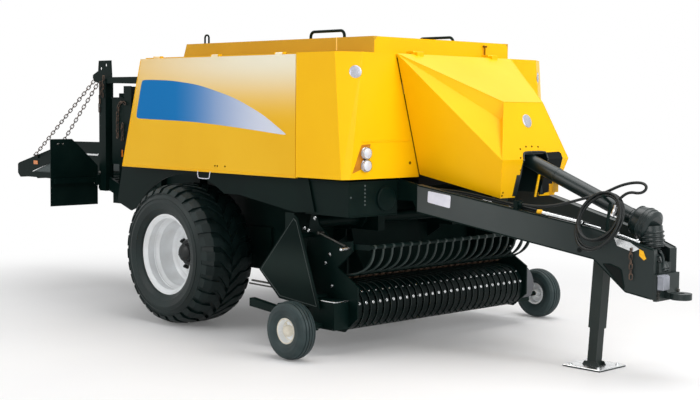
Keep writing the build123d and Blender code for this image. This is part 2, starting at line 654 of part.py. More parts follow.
# Pick-up frame: end plates, shields, stripper carrier and gauge wheel arms
with BuildPart() as pickup_frame:
    for side in (-1, 1):
        plate = sorted([side * PICKUP_HALF, side * (PICKUP_HALF + END_PLATE)])
        side_plate([(1560, 330), (1670, 1060), (1690, 1118), (1750, 1118), (1790, 1040), (1960, 900),
                    (2180, 930), (2190, 850), (2010, 700), (2250, 560), (2250, 300), (2100, 175),
                    (1760, 175)], plate)
        shield = sorted([side * SHIELD_Y, side * (SHIELD_Y + SHIELD_THICK)])
        side_plate([(1700, 1125), (1250, 630), (1510, 410), (2010, 370), (1735, 1090)], shield)
        edge = PICKUP_HALF + END_PLATE
        for x, z in ((1700, 950), (1600, 480), (1880, 450)):
            rod((x, side * edge, z), (x, side * SHIELD_Y, z), 22)
        block((1900, 2150), sorted([side * edge, side * (SHIELD_Y - 20)]), (210, 440))
        rod((GAUGE_X, side * (SHIELD_Y - 20), GAUGE_R), (GAUGE_X, side * (GAUGE_Y - 60 - FIT), GAUGE_R), 22)
        arm = sorted([side * (SHIELD_Y + 30), side * (SHIELD_Y + 90)])
        side_plate([(1560, 330), (1580, 385), (2030, 262), (2015, 205)], arm)
        rod((1640, side * edge, 338), (1640, side * (SHIELD_Y + 31), 338), 20)
        side_plate([(1215, 318), (1215, 388), (1560, 350), (1575, 290)], arm)
        side_plate([(1214, 325), (1214, 381), (1380, 363), (1380, 312)],
                   sorted([side * (SHIELD_Y + 37), side * (SHIELD_Y + 83)]), mode=Mode.SUBTRACT)
    block((1780, 1795), (-PICKUP_HALF, PICKUP_HALF), (REEL_Z - BAND_R, REEL_Z + BAND_R))
    rod((1752, -PICKUP_HALF - 1, 480), (1752, PICKUP_HALF + 1, 480), 40)
write(pickup_frame.part, "pickup_frame")

# Stripper bands: U-shaped strips round the reel, between its rows of tines
band_pitch = 2 * PICKUP_HALF / BANDS
band_in = BAND_R - BAND_THICK
with BuildPart() as pickup_bands:
    for number in range(BANDS):
        y = (number - (BANDS - 1) / 2) * band_pitch
        with BuildSketch(Plane.XZ.offset(-y - BAND_W / 2)) as strip:
            with BuildLine():
                outer = ThreePointArc((REEL_X, REEL_Z - BAND_R), (REEL_X + BAND_R, REEL_Z),
                                      (REEL_X, REEL_Z + BAND_R))
                Polyline(outer @ 1, (1795, REEL_Z + BAND_R), (1795, REEL_Z + band_in),
                         (REEL_X, REEL_Z + band_in))
                inside = ThreePointArc((REEL_X, REEL_Z + band_in), (REEL_X + band_in, REEL_Z),
                                       (REEL_X, REEL_Z - band_in))
                Polyline(inside @ 1, (1795, REEL_Z - band_in), (1795, REEL_Z - BAND_R), outer @ 0)
            make_face()
        extrude(strip.sketch, amount=BAND_W)
write(pickup_bands.part, "pickup_bands")

# Tine reel: a tube with four bars of tines that sweep between the bands
with BuildPart() as pickup_reel:
    reel_end = PICKUP_HALF - FIT
    rod((REEL_X, -reel_end, REEL_Z), (REEL_X, reel_end, REEL_Z), 45)
    for row in range(4):
        angle = math.radians(row * 90 + 45)
        bar = (REEL_X + 120 * math.cos(angle), REEL_Z + 120 * math.sin(angle))
        rod((bar[0], 20 - PICKUP_HALF, bar[1]), (bar[0], PICKUP_HALF - 20, bar[1]), 14)
    for y in (-1060, -530, 0, 530, 1060):
        rod((REEL_X, y - 5, REEL_Z), (REEL_X, y + 5, REEL_Z), 132)
    for row in range(4):
        across = Plane(origin=(REEL_X, 0, REEL_Z), x_dir=(0, 1, 0),
                       z_dir=(math.cos(math.radians(row * 90 + 45)), 0, math.sin(math.radians(row * 90 + 45))))
        with BuildSketch(across.offset(125)):
            with GridLocations(band_pitch, 1, BANDS - 1, 1):
                Rectangle(7, 7)
        extrude(amount=TINE_R - 125)
write(pickup_reel.part, "pickup_reel")

# Wind guard: a cross bar on two arms, with curved tines that trail over the reel
guard_end = PICKUP_HALF - 14
with BuildPart() as wind_guard:
    rod((GUARD_BAR_X, -guard_end, GUARD_BAR_Z), (GUARD_BAR_X, guard_end, GUARD_BAR_Z), 16)
    for side in (-1, 1):
        arm = sorted([side * guard_end, side * (guard_end - 12)])
        side_plate([(GUARD_PIVOT_X - 20, GUARD_PIVOT_Z - 22), (GUARD_BAR_X, GUARD_BAR_Z - 22),
                    (GUARD_BAR_X, GUARD_BAR_Z + 22), (GUARD_PIVOT_X - 20, GUARD_PIVOT_Z + 22)], arm)
        rod((GUARD_PIVOT_X, side * (guard_end - 12), GUARD_PIVOT_Z),
            (GUARD_PIVOT_X, side * (PICKUP_HALF - FIT), GUARD_PIVOT_Z), 15)
    tine_pitch = 2 * (guard_end - 60) / (GUARD_TINES - 1)
    for number in range(GUARD_TINES):
        y = (number - (GUARD_TINES - 1) / 2) * tine_pitch
        with BuildSketch(Plane.XZ.offset(-y - 5)) as tine:
            with BuildLine():
                outer = ThreePointArc((GUARD_BAR_X + 2, GUARD_BAR_Z - 10), (2262, 715), (2000, 625))
                inner_arc = ThreePointArc((2001, 635), (2254, 722), (GUARD_BAR_X - 8, GUARD_BAR_Z - 10))
                Line(outer @ 1, inner_arc @ 0)
                Line(inner_arc @ 1, outer @ 0)
            make_face()
        extrude(tine.sketch, amount=10)
write(wind_guard.part, "wind_guard")

# Gauge wheel: a ribbed tyre on a small pressed rim
gauge_half = GAUGE_W / 2
# Columns: radius, across from the middle of the tyre
GAUGE_WALL = [(GAUGE_RIM_R + FIT, 60), (GAUGE_RIM_R + 30, gauge_half - 7), (GAUGE_RIM_R + 65, gauge_half),
              (GAUGE_R - 32, gauge_half - 7), (GAUGE_R - 14, 64), (GAUGE_R - 4, 40), (GAUGE_R, 14)]
with BuildPart() as gauge_tyre:
    with BuildSketch(Plane.XY):
        with BuildLine():
            Polyline(*[(radius, -across) for radius, across in GAUGE_WALL],
                     *[(radius, across) for radius, across in GAUGE_WALL[::-1]], close=True)
        make_face()
        for across in (-42, -14, 14, 42):
            with Locations((GAUGE_R, across)):
                Rectangle(20, 7, mode=Mode.SUBTRACT)
    revolve(axis=Axis.Y)
gauge_place = Location((GAUGE_X, -GAUGE_Y, GAUGE_R))
write_pair(gauge_tyre.part.moved(gauge_place), "gauge_tyre")

with BuildPart() as gauge_rim:
    with BuildSketch(Plane.XY):
        with BuildLine():
            Polyline((0, -40), (40, -40), (46, -12), (80, -12), (92, -60), (GAUGE_RIM_R, -60),
                     (GAUGE_RIM_R, 60), (92, 60), (88, 4), (44, 4), (40, 60), (0, 60), close=True)
        make_face()
    revolve(axis=Axis.Y)
write_pair(gauge_rim.part.moved(gauge_place), "gauge_rim")

# Bale chute: a floor between tapered sides, with rollers, hinged between the posts
FLANGE_IN = CHUTE_HALF - CHUTE_PLATE
LUG_OUT = CHUTE_HALF + 13  # clears the chains that turn beside it
CHAIN_ENDS = [(-3735, 1420), (-3160, 1564)]  # x and z of the lugs for the outer and inner chains
chute_low = 1160
with BuildPart() as bale_chute:
    block((CHUTE_REAR + 60, -2300), (-CHUTE_HALF, CHUTE_HALF), (chute_low, chute_low + CHUTE_PLATE))
    for side in (-1, 1):
        flange = sorted([side * FLANGE_IN, side * CHUTE_HALF])
        side_plate([(CHUTE_REAR + 40, chute_low), (-2225, chute_low), (-2225, 1240), (-2420, 1600),
                    (-3050, 1592), (CHUTE_REAR + 30, 1314), (CHUTE_REAR, 1296), (CHUTE_REAR, 1196)], flange)
        side_plate([(-3885, 1225), (-3250, 1225), (-3250, 1400)], flange, mode=Mode.SUBTRACT)
        for x, z in CHAIN_ENDS:
            block((x - 25, x + 25), sorted([side * (CHUTE_HALF - 1), side * LUG_OUT]), (z - 34, z + 4))
    for x in (-2560, -2960, -3360, -3760, CHUTE_REAR + 45):
        rod((x, -FLANGE_IN, 1172), (x, FLANGE_IN, 1172), 25)
    rod((CHUTE_HINGE_X, FIT - POST_IN, CHUTE_HINGE_Z), (CHUTE_HINGE_X, POST_IN - FIT, CHUTE_HINGE_Z), 28)
write(bale_chute.part, "bale_chute")

# Chute chains: flat and upright links in turn, from the post hooks down to the chute's sides
CHAIN_Y = 514
LINK = 56
LINK_TIP = 7  # how far a link laps each of its neighbours
# Columns: name, the pin it hangs from, the lug it holds
CHAINS = [("chains_outer", HOOKS[0], CHAIN_ENDS[0]), ("chains_inner", HOOKS[1], CHAIN_ENDS[1])]
for name, hook, (end_x, end_z) in CHAINS:
    down = Vector(end_x - hook[0], 0, end_z - hook[1]).normalized()
    start = Vector(hook[0], 0, hook[1]) + down * (HOOK_R + FIT + LINK_TIP)
    run = Vector(end_x, 0, end_z) - start
    links = round(run.length / LINK)
    pitch = run.length / links
    with BuildPart() as chain:
        for side in (-1, 1):
            for number in range(links):
                middle = start + Vector(0, side * CHAIN_Y, 0) + down * pitch * (number + 0.5)
                normal = (0, 1, 0) if number % 2 else run.cross(Vector(0, 1, 0))
                with BuildSketch(Plane(origin=middle, x_dir=run, z_dir=normal).offset(-5)) as link:
                    with BuildLine():
                        tip, wide = pitch / 2 + LINK_TIP, pitch / 2 - 8
                        Polyline((-tip, 0), (-wide, 16), (wide, 16), (tip, 0), (wide, -16), (-wide, -16),
                                 close=True)
                    make_face()
                extrude(link.sketch, amount=10)
    write(chain.part, name)

# Hose coil: a hose that leaves a gland on the right beam and hangs in a coil on a holder
HOSE_R = 11
COIL_R = 185
COIL_BUNDLE_R = 34
COIL_CENTRE = (4020, -284, 1221)
COIL_LEAN = 29.7  # degrees, top inwards
coil_up = Vector(0, math.sin(math.radians(COIL_LEAN)), math.cos(math.radians(COIL_LEAN)))
coil_plane = Plane(origin=COIL_CENTRE, x_dir=(1, 0, 0), z_dir=Vector(1, 0, 0).cross(coil_up))
GLAND_TIP = (3360, -395, 1270)
# The hose's route from the gland to the coil
HOSE_ROUTE = [GLAND_TIP, (3430, -394, 1266), (3530, -380, 1264), (3640, -348, 1277), (3745, -304, 1306),
              (3845, -253, 1341), (3942, -206, 1366)]
HOLDER_R = 12
COUPLER_X = 102  # from the middle of the coil, in its plane
COUPLER_R = 17

with BuildPart() as hose_coil:
    with Locations(coil_plane):
        Torus(COIL_R, COIL_BUNDLE_R)
write(hose_coil.part, "hose_coil")

with BuildPart() as hose_coupler:
    reach = math.sqrt((COIL_R - COIL_BUNDLE_R) ** 2 - (COUPLER_X + COUPLER_R) ** 2)
    top = coil_plane.from_local_coords(Vector(COUPLER_X, reach - 0.1, 0))
    low = coil_plane.from_local_coords(Vector(COUPLER_X, reach - 95, 0))
    rod(tuple(top), tuple(low), COUPLER_R)
write(hose_coupler.part, "hose_coupler")

with BuildPart() as hose_holder:
    arm = coil_plane.from_local_coords(Vector(0, COIL_R - COIL_BUNDLE_R - FIT - HOLDER_R, 0))
    across = coil_plane.z_dir * 60
    rod(tuple(arm - across), tuple(arm + across), HOLDER_R)
    rod((4020, -200, 1094), (4020, -200, 1160), HOLDER_R)
    rod((4020, -200, 1150), tuple(arm - across * (1 if coil_plane.z_dir.Y < 0 else -1)), HOLDER_R)
    block((3290, 3330), (-420, -370), (1234, 1300))
    leaving = (Vector(*HOSE_ROUTE[1]) - Vector(*GLAND_TIP)).normalized()
    rod(tuple(Vector(*GLAND_TIP) - leaving * 40), GLAND_TIP, HOSE_R + 7)
write(hose_holder.part, "hose_holder")


def bend_radii(points):
    """As large a radius at each inner point as its two runs allow."""
    radii = []
    for before, at, after in zip(points, points[1:], points[2:]):
        run_in, run_out = Vector(*at) - Vector(*before), Vector(*after) - Vector(*at)
        half_turn = math.radians(run_in.get_angle(run_out)) / 2
        radii.append(0.45 * min(run_in.length, run_out.length) / math.tan(half_turn))
    return radii


hose_radii = bend_radii(HOSE_ROUTE)
print("hose bend radii", [round(radius) for radius in hose_radii])
with BuildPart() as hose_run:
    with BuildLine() as hose_path:
        FilletPolyline(*HOSE_ROUTE, radius=hose_radii)
    with BuildSketch(Plane(origin=hose_path.line @ 0, z_dir=hose_path.line % 0)):
        Circle(HOSE_R)
    sweep()
hose_length = hose_path.wires()[0].length
print("hose length", round(hose_length), "volume", round(hose_run.part.volume),
      "section times length", round(math.pi * HOSE_R ** 2 * hose_length))
write(hose_run.part, "hose_run")
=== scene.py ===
# %% [markdown]
# # A large square baler
# A tractor tows this machine, which picks up straw and presses it into large bales. Its solids come
# from a CAD model, and that model is the fixed frame of this scene. Every piece below is built around
# it, in metres, and rides on one of its bodies, so it moves with the wheels, doors, chute or pick-up.

# %% Load the frame
import bmesh
import bpy
import json
import math
from mathutils import Matrix, Vector


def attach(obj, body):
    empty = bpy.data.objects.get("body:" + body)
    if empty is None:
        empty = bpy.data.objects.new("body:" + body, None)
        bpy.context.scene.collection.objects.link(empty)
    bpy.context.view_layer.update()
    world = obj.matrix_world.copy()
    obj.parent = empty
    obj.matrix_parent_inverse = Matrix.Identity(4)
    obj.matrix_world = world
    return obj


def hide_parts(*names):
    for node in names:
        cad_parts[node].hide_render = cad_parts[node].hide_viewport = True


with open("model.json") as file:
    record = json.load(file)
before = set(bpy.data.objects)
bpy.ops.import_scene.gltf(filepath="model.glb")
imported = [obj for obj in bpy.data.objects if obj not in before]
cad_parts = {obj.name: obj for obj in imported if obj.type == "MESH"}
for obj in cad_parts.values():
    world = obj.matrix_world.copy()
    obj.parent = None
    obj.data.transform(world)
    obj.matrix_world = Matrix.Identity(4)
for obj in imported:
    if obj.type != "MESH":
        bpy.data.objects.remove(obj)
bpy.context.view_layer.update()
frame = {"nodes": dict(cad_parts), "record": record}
nodes = frame["nodes"]

# %% [markdown]
# ## Places on the machine
# A drawing of the machine counts x from the main axle, in millimetres. Each place could be worked out
# by hand for the scene, but then no number would match the drawing. One helper does the sum instead.

# %% Places
AXLE_X = -0.220  # the axle, seen from half the overall length, in metres
RIGHT, LEFT = -1, 1
SIDES = ((RIGHT, "right"), (LEFT, "left"))
FORWARD, LEFTWARD, UPWARD = Vector((1, 0, 0)), Vector((0, 1, 0)), Vector((0, 0, 1))


def at(x, y, z):
    """A place in the scene from the drawing's millimetres."""
    return Vector((x / 1000 + AXLE_X, y / 1000, z / 1000))


print("axle at", round(at(0, 0, 0).x, 3))

# %% [markdown]
# ## Camera
# A long lens stands off the front right corner, a little above the drawbar, and looks slightly down.
# It could be aimed at a target, but its roll would then stay level. Its three axes are worked out
# from compass angle, pitch and roll instead, so that the machine leans in the picture as it should.

# %% Camera
LENS, SENSOR = 66.64, 36
CAMERA_PLACE = (9675, -8418, 2035)
azimuth, pitch, roll = (math.radians(angle) for angle in (45.81, 4.19, -0.5))
looking = Vector((-math.sin(azimuth) * math.cos(pitch), math.cos(azimuth) * math.cos(pitch),
                  -math.sin(pitch)))
level = Vector((math.cos(azimuth), math.sin(azimuth), 0))
upright = level.cross(looking)
camera_right = level * math.cos(roll) - upright * math.sin(roll)
camera_up = upright * math.cos(roll) + level * math.sin(roll)
camera = bpy.data.objects.new("camera", bpy.data.cameras.new("camera"))
bpy.context.scene.collection.objects.link(camera)
camera.data.sensor_width = SENSOR
camera.data.lens = LENS
camera.matrix_world = Matrix((camera_right, camera_up, -looking)).transposed().to_4x4()
camera.location = at(*CAMERA_PLACE)
bpy.context.scene.camera = camera
print("camera height", round(camera.location.z, 2))

# %% [markdown]
# ## Where the hydraulic hose goes
# One hose leaves a gland on the right beam and is put away in a coil on its holder, with a quick
# coupler on its free end. Turns that are all alike look like a spring, so each of the four turns has
# its own size and sag, and the last loop springs away before it comes back down to the coupler.

# %% Hose route
HOSE_RADIUS = 0.011
HOSE_ROUTE = [(3360, -395, 1270), (3430, -394, 1266), (3530, -380, 1264), (3640, -348, 1277),
              (3745, -304, 1306), (3845, -253, 1341), (3942, -206, 1366)]
COIL_CENTRE = (4020, -284, 1221)
COIL_LEAN = math.radians(29.7)
COIL_ACROSS = Vector((1, 0, 0))
COIL_UP = Vector((0, math.sin(COIL_LEAN), math.cos(COIL_LEAN)))
COIL_OUT = COIL_ACROSS.cross(COIL_UP)
COIL_START = 115.4  # degrees, where the route reaches the first turn
TURN_POINTS = 12
# Size of each turn, how far it sags at the bottom, how far it stands out
HOSE_TURNS = [(186, 22, 2), (202, 84, -20), (170, 44, 14), (192, 112, 26)]
# The last loop: along the coil, up and out
HOSE_END = [(-40, 184, 8), (10, 214, 6), (60, 246, 4), (115, 270, 4), (170, 284, 6), (225, 290, 8),
            (275, 286, 10), (312, 266, 12), (322, 234, 13), (300, 206, 14), (258, 198, 15),
            (212, 204, 14), (170, 196, 11), (136, 172, 6), (110, 140, 2), (102, 112, 0), (102, 91, 0)]


def on_coil(along, up, out=0):
    """A place in the plane of the coil."""
    return at(*(Vector(COIL_CENTRE) + COIL_ACROSS * along + COIL_UP * up + COIL_OUT * out))


def hose_points():
    """The hose from the gland to the coupler."""
    points = [at(*point) for point in HOSE_ROUTE]
    for number, (size, sag, out) in enumerate(HOSE_TURNS):
        after = HOSE_TURNS[(number + 1) % len(HOSE_TURNS)]
        for step in range(1, TURN_POINTS + 1):
            share = step / TURN_POINTS
            turn = math.radians(COIL_START - 360 / TURN_POINTS * step)
            low = (1 - math.sin(turn)) / 2
            radius = size + (after[0] - size) * share * share
            points.append(on_coil(radius * math.cos(turn), radius * math.sin(turn) - sag * low,
                                  out + (after[2] - out) * share))
    return points + [on_coil(*point) for point in HOSE_END]


route = hose_points()
print("hose points", len(route))

# %% [markdown]
# ## The hose itself
# A hose could be a tube of mesh, but a NURBS curve stays smooth with far fewer points, and its length
# can be measured. The route's points pull on the curve, which passes inside them as a stiff hose
# does. A point's radius scales the curve's thickness, and also the box that Blender gives the curve.

# %% Hose
hose_curve = bpy.data.curves.new("hydraulic_hose", "CURVE")
hose_curve.dimensions = "3D"
hose_line = hose_curve.splines.new("NURBS")
hose_line.points.add(len(route) - 1)
for spot, point in zip(hose_line.points, route):
    spot.co = (*point, 1)
    spot.radius = HOSE_RADIUS  # a radius of 1 would make the curve's box a metre too large
hose_line.order_u = 3
hose_line.use_endpoint_u = True
hose_line.resolution_u = 8
hose_curve.bevel_depth = 1
hose_curve.bevel_resolution = 4
hose_curve.use_fill_caps = True
hose = bpy.data.objects.new("hydraulic_hose", hose_curve)
bpy.context.scene.collection.objects.link(hose)
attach(hose, "root")
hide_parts("hose_coil", "hose_run")
print("hose diameter", 2 * HOSE_RADIUS)

# %% [markdown]
# ## From a mesh to a piece
# Bolts, bars and plates could each be an object of their own. Here a whole group is added to one
# bmesh, because one piece for all the bolts of a door is easier to paint and to move. Its edges are
# shaded smooth with the sharp ones kept, or get a small bevel that catches light as a real fold does.

# %% From a mesh to a piece
made = []


def soften(piece, bevel=0.0, angle=32):
    """Smooth shading with sharp edges kept, or a small bevel that catches the light."""
    for face in piece.data.polygons:
        face.use_smooth = True
    if bevel:
        edge = piece.modifiers.new("edge", "BEVEL")
        edge.width = bevel
        edge.segments = 2
        edge.limit_method = "ANGLE"
        edge.angle_limit = math.radians(angle)
        edge.harden_normals = True
    else:
        piece.data.set_sharp_from_angle(angle=math.radians(angle))


def make_piece(name, mesh, paint, body, bevel=0.0):
    """Turns a mesh into a named piece with a finish, riding on a body."""
    bmesh.ops.recalc_face_normals(mesh, faces=mesh.faces)
    data = bpy.data.meshes.new(name)
    mesh.to_mesh(data)
    mesh.free()
    piece = bpy.data.objects.new(name, data)
    bpy.context.scene.collection.objects.link(piece)
    data.materials.append(paint)
    soften(piece, bevel)
    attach(piece, body)
    made.append(name)
    return piece


print("pieces so far", len(made))

# %% [markdown]
# ## Turned shapes
# Hubs, nuts, lamps, pins and couplers are all turned on a lathe. A screw modifier could do that for
# one object, but many small parts in one mesh need a helper that takes a start, an axis and a list of
# distances and radii. It puts a loop of points at each distance and a skin of faces between them.

# %% Turned shapes
def turns(steps):
    """Evenly spaced angles, once round."""
    return [2 * math.pi * step / steps for step in range(steps)]


def crossing(axis):
    """Two directions square to an axis and to each other."""
    axis = Vector(axis).normalized()
    helper = UPWARD if abs(axis.z) < 0.9 else FORWARD
    first = axis.cross(helper).normalized()
    return first, axis.cross(first).normalized()


def add_skin(mesh, loops, closed=False):
    """Faces between neighbouring loops, and from the last to the first where closed."""
    for here, there in zip(loops, loops[1:] + (loops[:1] if closed else [])):
        for side in range(len(here)):
            after = (side + 1) % len(here)
            mesh.faces.new((here[side], here[after], there[after], there[side]))


def add_profile(mesh, start, axis, rings, sides=24, closed=True):
    """A turned shape: rings are (distance along the axis, radius) in metres, from a start point."""
    axis = Vector(axis).normalized()
    first, second = crossing(axis)
    loops = []
    for along, radius in rings:
        centre = Vector(start) + axis * along
        if radius < 1e-6:
            loops.append([mesh.verts.new(centre)])
            continue
        loops.append([mesh.verts.new(centre + (first * math.cos(turn) + second * math.sin(turn)) * radius)
                      for turn in turns(sides)])
    for here, there in zip(loops, loops[1:]):
        if len(here) > 1 and len(there) > 1:
            add_skin(mesh, [here, there])
            continue
        tip, rim = (here[0], there) if len(here) == 1 else (there[0], here)
        for side in range(sides):
            mesh.faces.new((tip, rim[side], rim[(side + 1) % sides]))
    if closed:
        for loop in (loops[0], loops[-1]):
            if len(loop) > 1:
                mesh.faces.new(loop)


print("steps of a turned shape", len(turns(24)))

# %% [markdown]
# ## Finishes
# A real finish is never one flat colour: paint fades, rubber gathers dust, zinc goes dull in places.
# A painted image could show that, but noise in the object's own space needs no unwrapping and has no
# seams. Each finish drifts between two close colours and two roughnesses, with a fine bump on top.

# %% Finishes
COLOUR_SPREAD = (0.35, 0.65)  # the part of the noise over which the two colours change
BUMP_DEPTH = 0.004
COAT_ROUGHNESS = 0.08


def linear(red, green, blue):
    """Blender's linear colour from screen values of 0 to 255."""
    return tuple((value / 255 / 12.92 if value / 255 <= 0.04045 else ((value / 255 + 0.055) / 1.055) ** 2.4)
                 for value in (red, green, blue)) + (1,)


def add_node(tree, kind, inputs=None, **settings):
    """A shader node with its settings, whose inputs are set to values or linked to sockets."""
    node = tree.nodes.new("ShaderNode" + kind)
    for name, value in settings.items():
        setattr(node, name, value)
    for socket, value in (inputs or {}).items():
        if isinstance(value, bpy.types.NodeSocket):
            tree.links.new(value, node.inputs[socket])
        else:
            node.inputs[socket].default_value = value
    return node


def finish(name, colour, second, patch, rough, grain, bump, metal=0.0, coat=0.0, shine=0.5):
    """A material that drifts between two colours and two roughnesses, with a fine bump."""
    material = bpy.data.materials.new(name)
    material.use_nodes = True
    tree = material.node_tree
    shader = tree.nodes["Principled BSDF"]
    place = add_node(tree, "TexCoord").outputs["Object"]
    drift = add_node(tree, "TexNoise", {"Vector": place, "Scale": patch, "Detail": 6})
    fine = add_node(tree, "TexNoise", {"Vector": place, "Scale": grain, "Detail": 4})
    band = add_node(tree, "MapRange", {"Value": drift.outputs["Fac"], "From Min": COLOUR_SPREAD[0],
                                       "From Max": COLOUR_SPREAD[1]})
    blend = add_node(tree, "Mix", {"Factor": band.outputs["Result"], "A": linear(*colour),
                                   "B": linear(*second)}, data_type="RGBA")
    gloss = add_node(tree, "MapRange", {"Value": drift.outputs["Fac"], "To Min": rough[0],
                                        "To Max": rough[1]})
    relief = add_node(tree, "Bump", {"Height": fine.outputs["Fac"], "Strength": bump,
                                     "Distance": BUMP_DEPTH})
    tree.links.new(blend.outputs["Result"], shader.inputs["Base Color"])
    tree.links.new(gloss.outputs["Result"], shader.inputs["Roughness"])
    tree.links.new(relief.outputs["Normal"], shader.inputs["Normal"])
    shader.inputs["Metallic"].default_value = metal
    shader.inputs["Coat Weight"].default_value = coat
    shader.inputs["Coat Roughness"].default_value = COAT_ROUGHNESS
    shader.inputs["Specular IOR Level"].default_value = shine
    return material


print("mid grey is", round(linear(128, 128, 128)[0], 3))

# %% [markdown]
# ## Paint, rubber and metal of the main pieces
# The covers are golden yellow, the chassis is a satin black with a green tinge, and the drawbar is a
# lighter charcoal. A glossy black could be used, but it would mirror the pale floor, so the dark
# paints reflect little. Rubber has a strong grain, and bare metal shows only what it reflects.

# %% Paint, rubber and metal
yellow = finish("golden yellow panel paint", (253, 195, 4), (249, 188, 2), 1.2, (0.3, 0.45), 14, 0.02,
                shine=0.17)
# The side doors' paint carries a painted sheen towards its top, graded below
door_paint_with_painted_sheen = finish("side door paint with painted sheen", (242, 188, 36), (238, 182, 30), 1.2, (0.3, 0.45), 14, 0.02,
                     shine=0.14)
chassis = finish("satin black chassis paint", (3, 19, 17), (9, 26, 23), 3, (0.35, 0.6), 90, 0.05, shine=0.08)
charcoal = finish("charcoal drawbar paint", (56, 62, 62), (64, 70, 69), 2.5, (0.3, 0.46), 70, 0.04, shine=0.3)
jack_paint = finish("jack paint", (31, 39, 37), (39, 47, 45), 3, (0.35, 0.55), 90, 0.05, shine=0.22)
band_paint = finish("tine band paint", (0, 11, 10), (4, 16, 15), 8, (0.28, 0.45), 120, 0.05, shine=0.09)
rim_white = finish("white rim enamel", (240, 243, 245), (228, 230, 231), 7, (0.25, 0.42), 60, 0.03, coat=0.2)
hub_black = finish("hub black", (6, 11, 11), (14, 19, 19), 12, (0.3, 0.5), 120, 0.08, shine=0.35)
tyre_black = finish("dusty tyre rubber", (2, 17, 16), (12, 29, 28), 6, (0.36, 0.55), 180, 0.25, shine=0.3)
# The gauge tyres' rubber is painted lighter than the main tyres': painted light
gauge_rubber_painted_light = finish("gauge tyre rubber painted lighter", (30, 44, 45), (44, 58, 59), 9, (0.42, 0.6), 180, 0.2,
                     shine=0.3)
hose_black = finish("hose rubber", (3, 9, 9), (10, 17, 17), 30, (0.38, 0.5), 300, 0.12, shine=0.28)
shaft_black = finish("drive shaft guard plastic", (8, 22, 22), (16, 31, 31), 5, (0.24, 0.4), 120, 0.05,
                     shine=0.4)
bare_steel = finish("bare steel", (168, 168, 165), (130, 127, 122), 18, (0.25, 0.5), 240, 0.05, metal=1)
coupler_chrome = finish("coupler chrome", (205, 206, 208), (180, 180, 180), 30, (0.12, 0.25), 300, 0.02,
                        metal=1)
chain_rust = finish("rusty chain", (104, 84, 70), (60, 52, 48), 26, (0.45, 0.75), 260, 0.3, metal=0.6)
cast = finish("cast iron", (24, 26, 25), (38, 38, 36), 8, (0.5, 0.7), 150, 0.3, metal=0.4)
lamp_clear = finish("lamp lens", (226, 228, 234), (206, 210, 218), 20, (0.08, 0.16), 60, 0.02, coat=0.6)
print("finishes", len(bpy.data.materials))

# %% [markdown]
# ## Paint the CAD pieces
# The rigid pieces of the frame have the right shape already, so they could be left as they are. They
# get their paint by the slot that the record names, and a bevel of a few millimetres on the panels
# and beams, because an edge without any radius never catches light.

# %% Paint the CAD pieces
PAINT = {
    "yellow_paint": (yellow, 0.006), "chassis_paint": (chassis, 0.003), "rim_paint": (rim_white, 0.003),
    "tyre_rubber": (tyre_black, 0.005), "hub_paint": (hub_black, 0.004), "bare_steel": (bare_steel, 0.002),
    "shaft_guard": (shaft_black, 0.003), "lamp_lens": (lamp_clear, 0.003), "hose_rubber": (hose_black, 0),
    "coupler_metal": (coupler_chrome, 0.001), "chain_steel": (chain_rust, 0.001), "gear_iron": (cast, 0.004),
}
OTHER = {"drawbar_beam_right": charcoal, "drawbar_beam_left": charcoal, "hitch": charcoal,
         "jack_leg": jack_paint, "jack_sleeve": jack_paint, "gauge_tyre_right": gauge_rubber_painted_light,
         "gauge_tyre_left": gauge_rubber_painted_light, "pickup_bands": band_paint, "side_door_right": door_paint_with_painted_sheen,
         "side_door_left": door_paint_with_painted_sheen}
for part in frame["record"]["subparts"]:
    paint, edge = PAINT[part["material_slot"]]
    node = nodes[part["node"]]
    node.data.materials.clear()
    node.data.materials.append(OTHER.get(part["node"], paint))
    soften(node, edge)
print("painted", len(nodes))

# %% [markdown]
# ## Graded paint
# The side doors' paint turns from yellow to near white at their upper front corner, a painted
# sheen, and the beams darken towards the nose. A colour ramp along one of the object's own axes
# does both, and a second axis can hold it back. It belongs to the surface, wherever the camera is.

# %% Graded paint
def fade(material, colours, axis, low, high, share=1.0, second=None):
    """Blends a finish into other colours along an axis of the object."""
    tree = material.node_tree
    paint = tree.nodes["Principled BSDF"].inputs["Base Color"]
    own = paint.links[0].from_socket
    parts = add_node(tree, "SeparateXYZ", {0: add_node(tree, "TexCoord").outputs["Object"]})

    def ramp(letter, start, end, top):
        span = add_node(tree, "MapRange", {"Value": parts.outputs[letter], "From Min": start, "From Max": end,
                                           "To Max": top}, interpolation_type="SMOOTHSTEP")
        return span.outputs["Result"]

    steps = add_node(tree, "ValToRGB", {"Fac": ramp(axis, low, high, 1.0)})
    elements = steps.color_ramp.elements
    while len(elements) < len(colours):
        elements.new(0.5)
    for number, (stop, colour) in enumerate(colours):
        elements[number].position, elements[number].color = stop, linear(*colour)
    strength = ramp(axis, low, high, share)
    if second:
        strength = add_node(tree, "Math", {0: strength, 1: ramp(*second)}, operation="MULTIPLY").outputs[0]
    mix = add_node(tree, "Mix", {"Factor": strength, "A": own, "B": steps.outputs["Color"]}, data_type="RGBA")
    tree.links.new(mix.outputs["Result"], paint)


# Paler towards the doors' top and front: a painted reflection of the lights
door_at = nodes["side_door_right"].matrix_world.translation
fade(door_paint_with_painted_sheen, [(0.0, (243, 204, 96)), (1.0, (244, 238, 216))], "Z", 1.8 - door_at.z, 2.42 - door_at.z,
     0.98, ("X", -2.2 - door_at.x, 1.3 - door_at.x, 1.0))
beam_at = nodes["drawbar_beam_right"].matrix_world.translation
fade(charcoal, [(0.0, (64, 71, 69)), (1.0, (26, 36, 35))], "X", 2.5 - beam_at.x, 3.7 - beam_at.x)
print("graded finishes", 2)
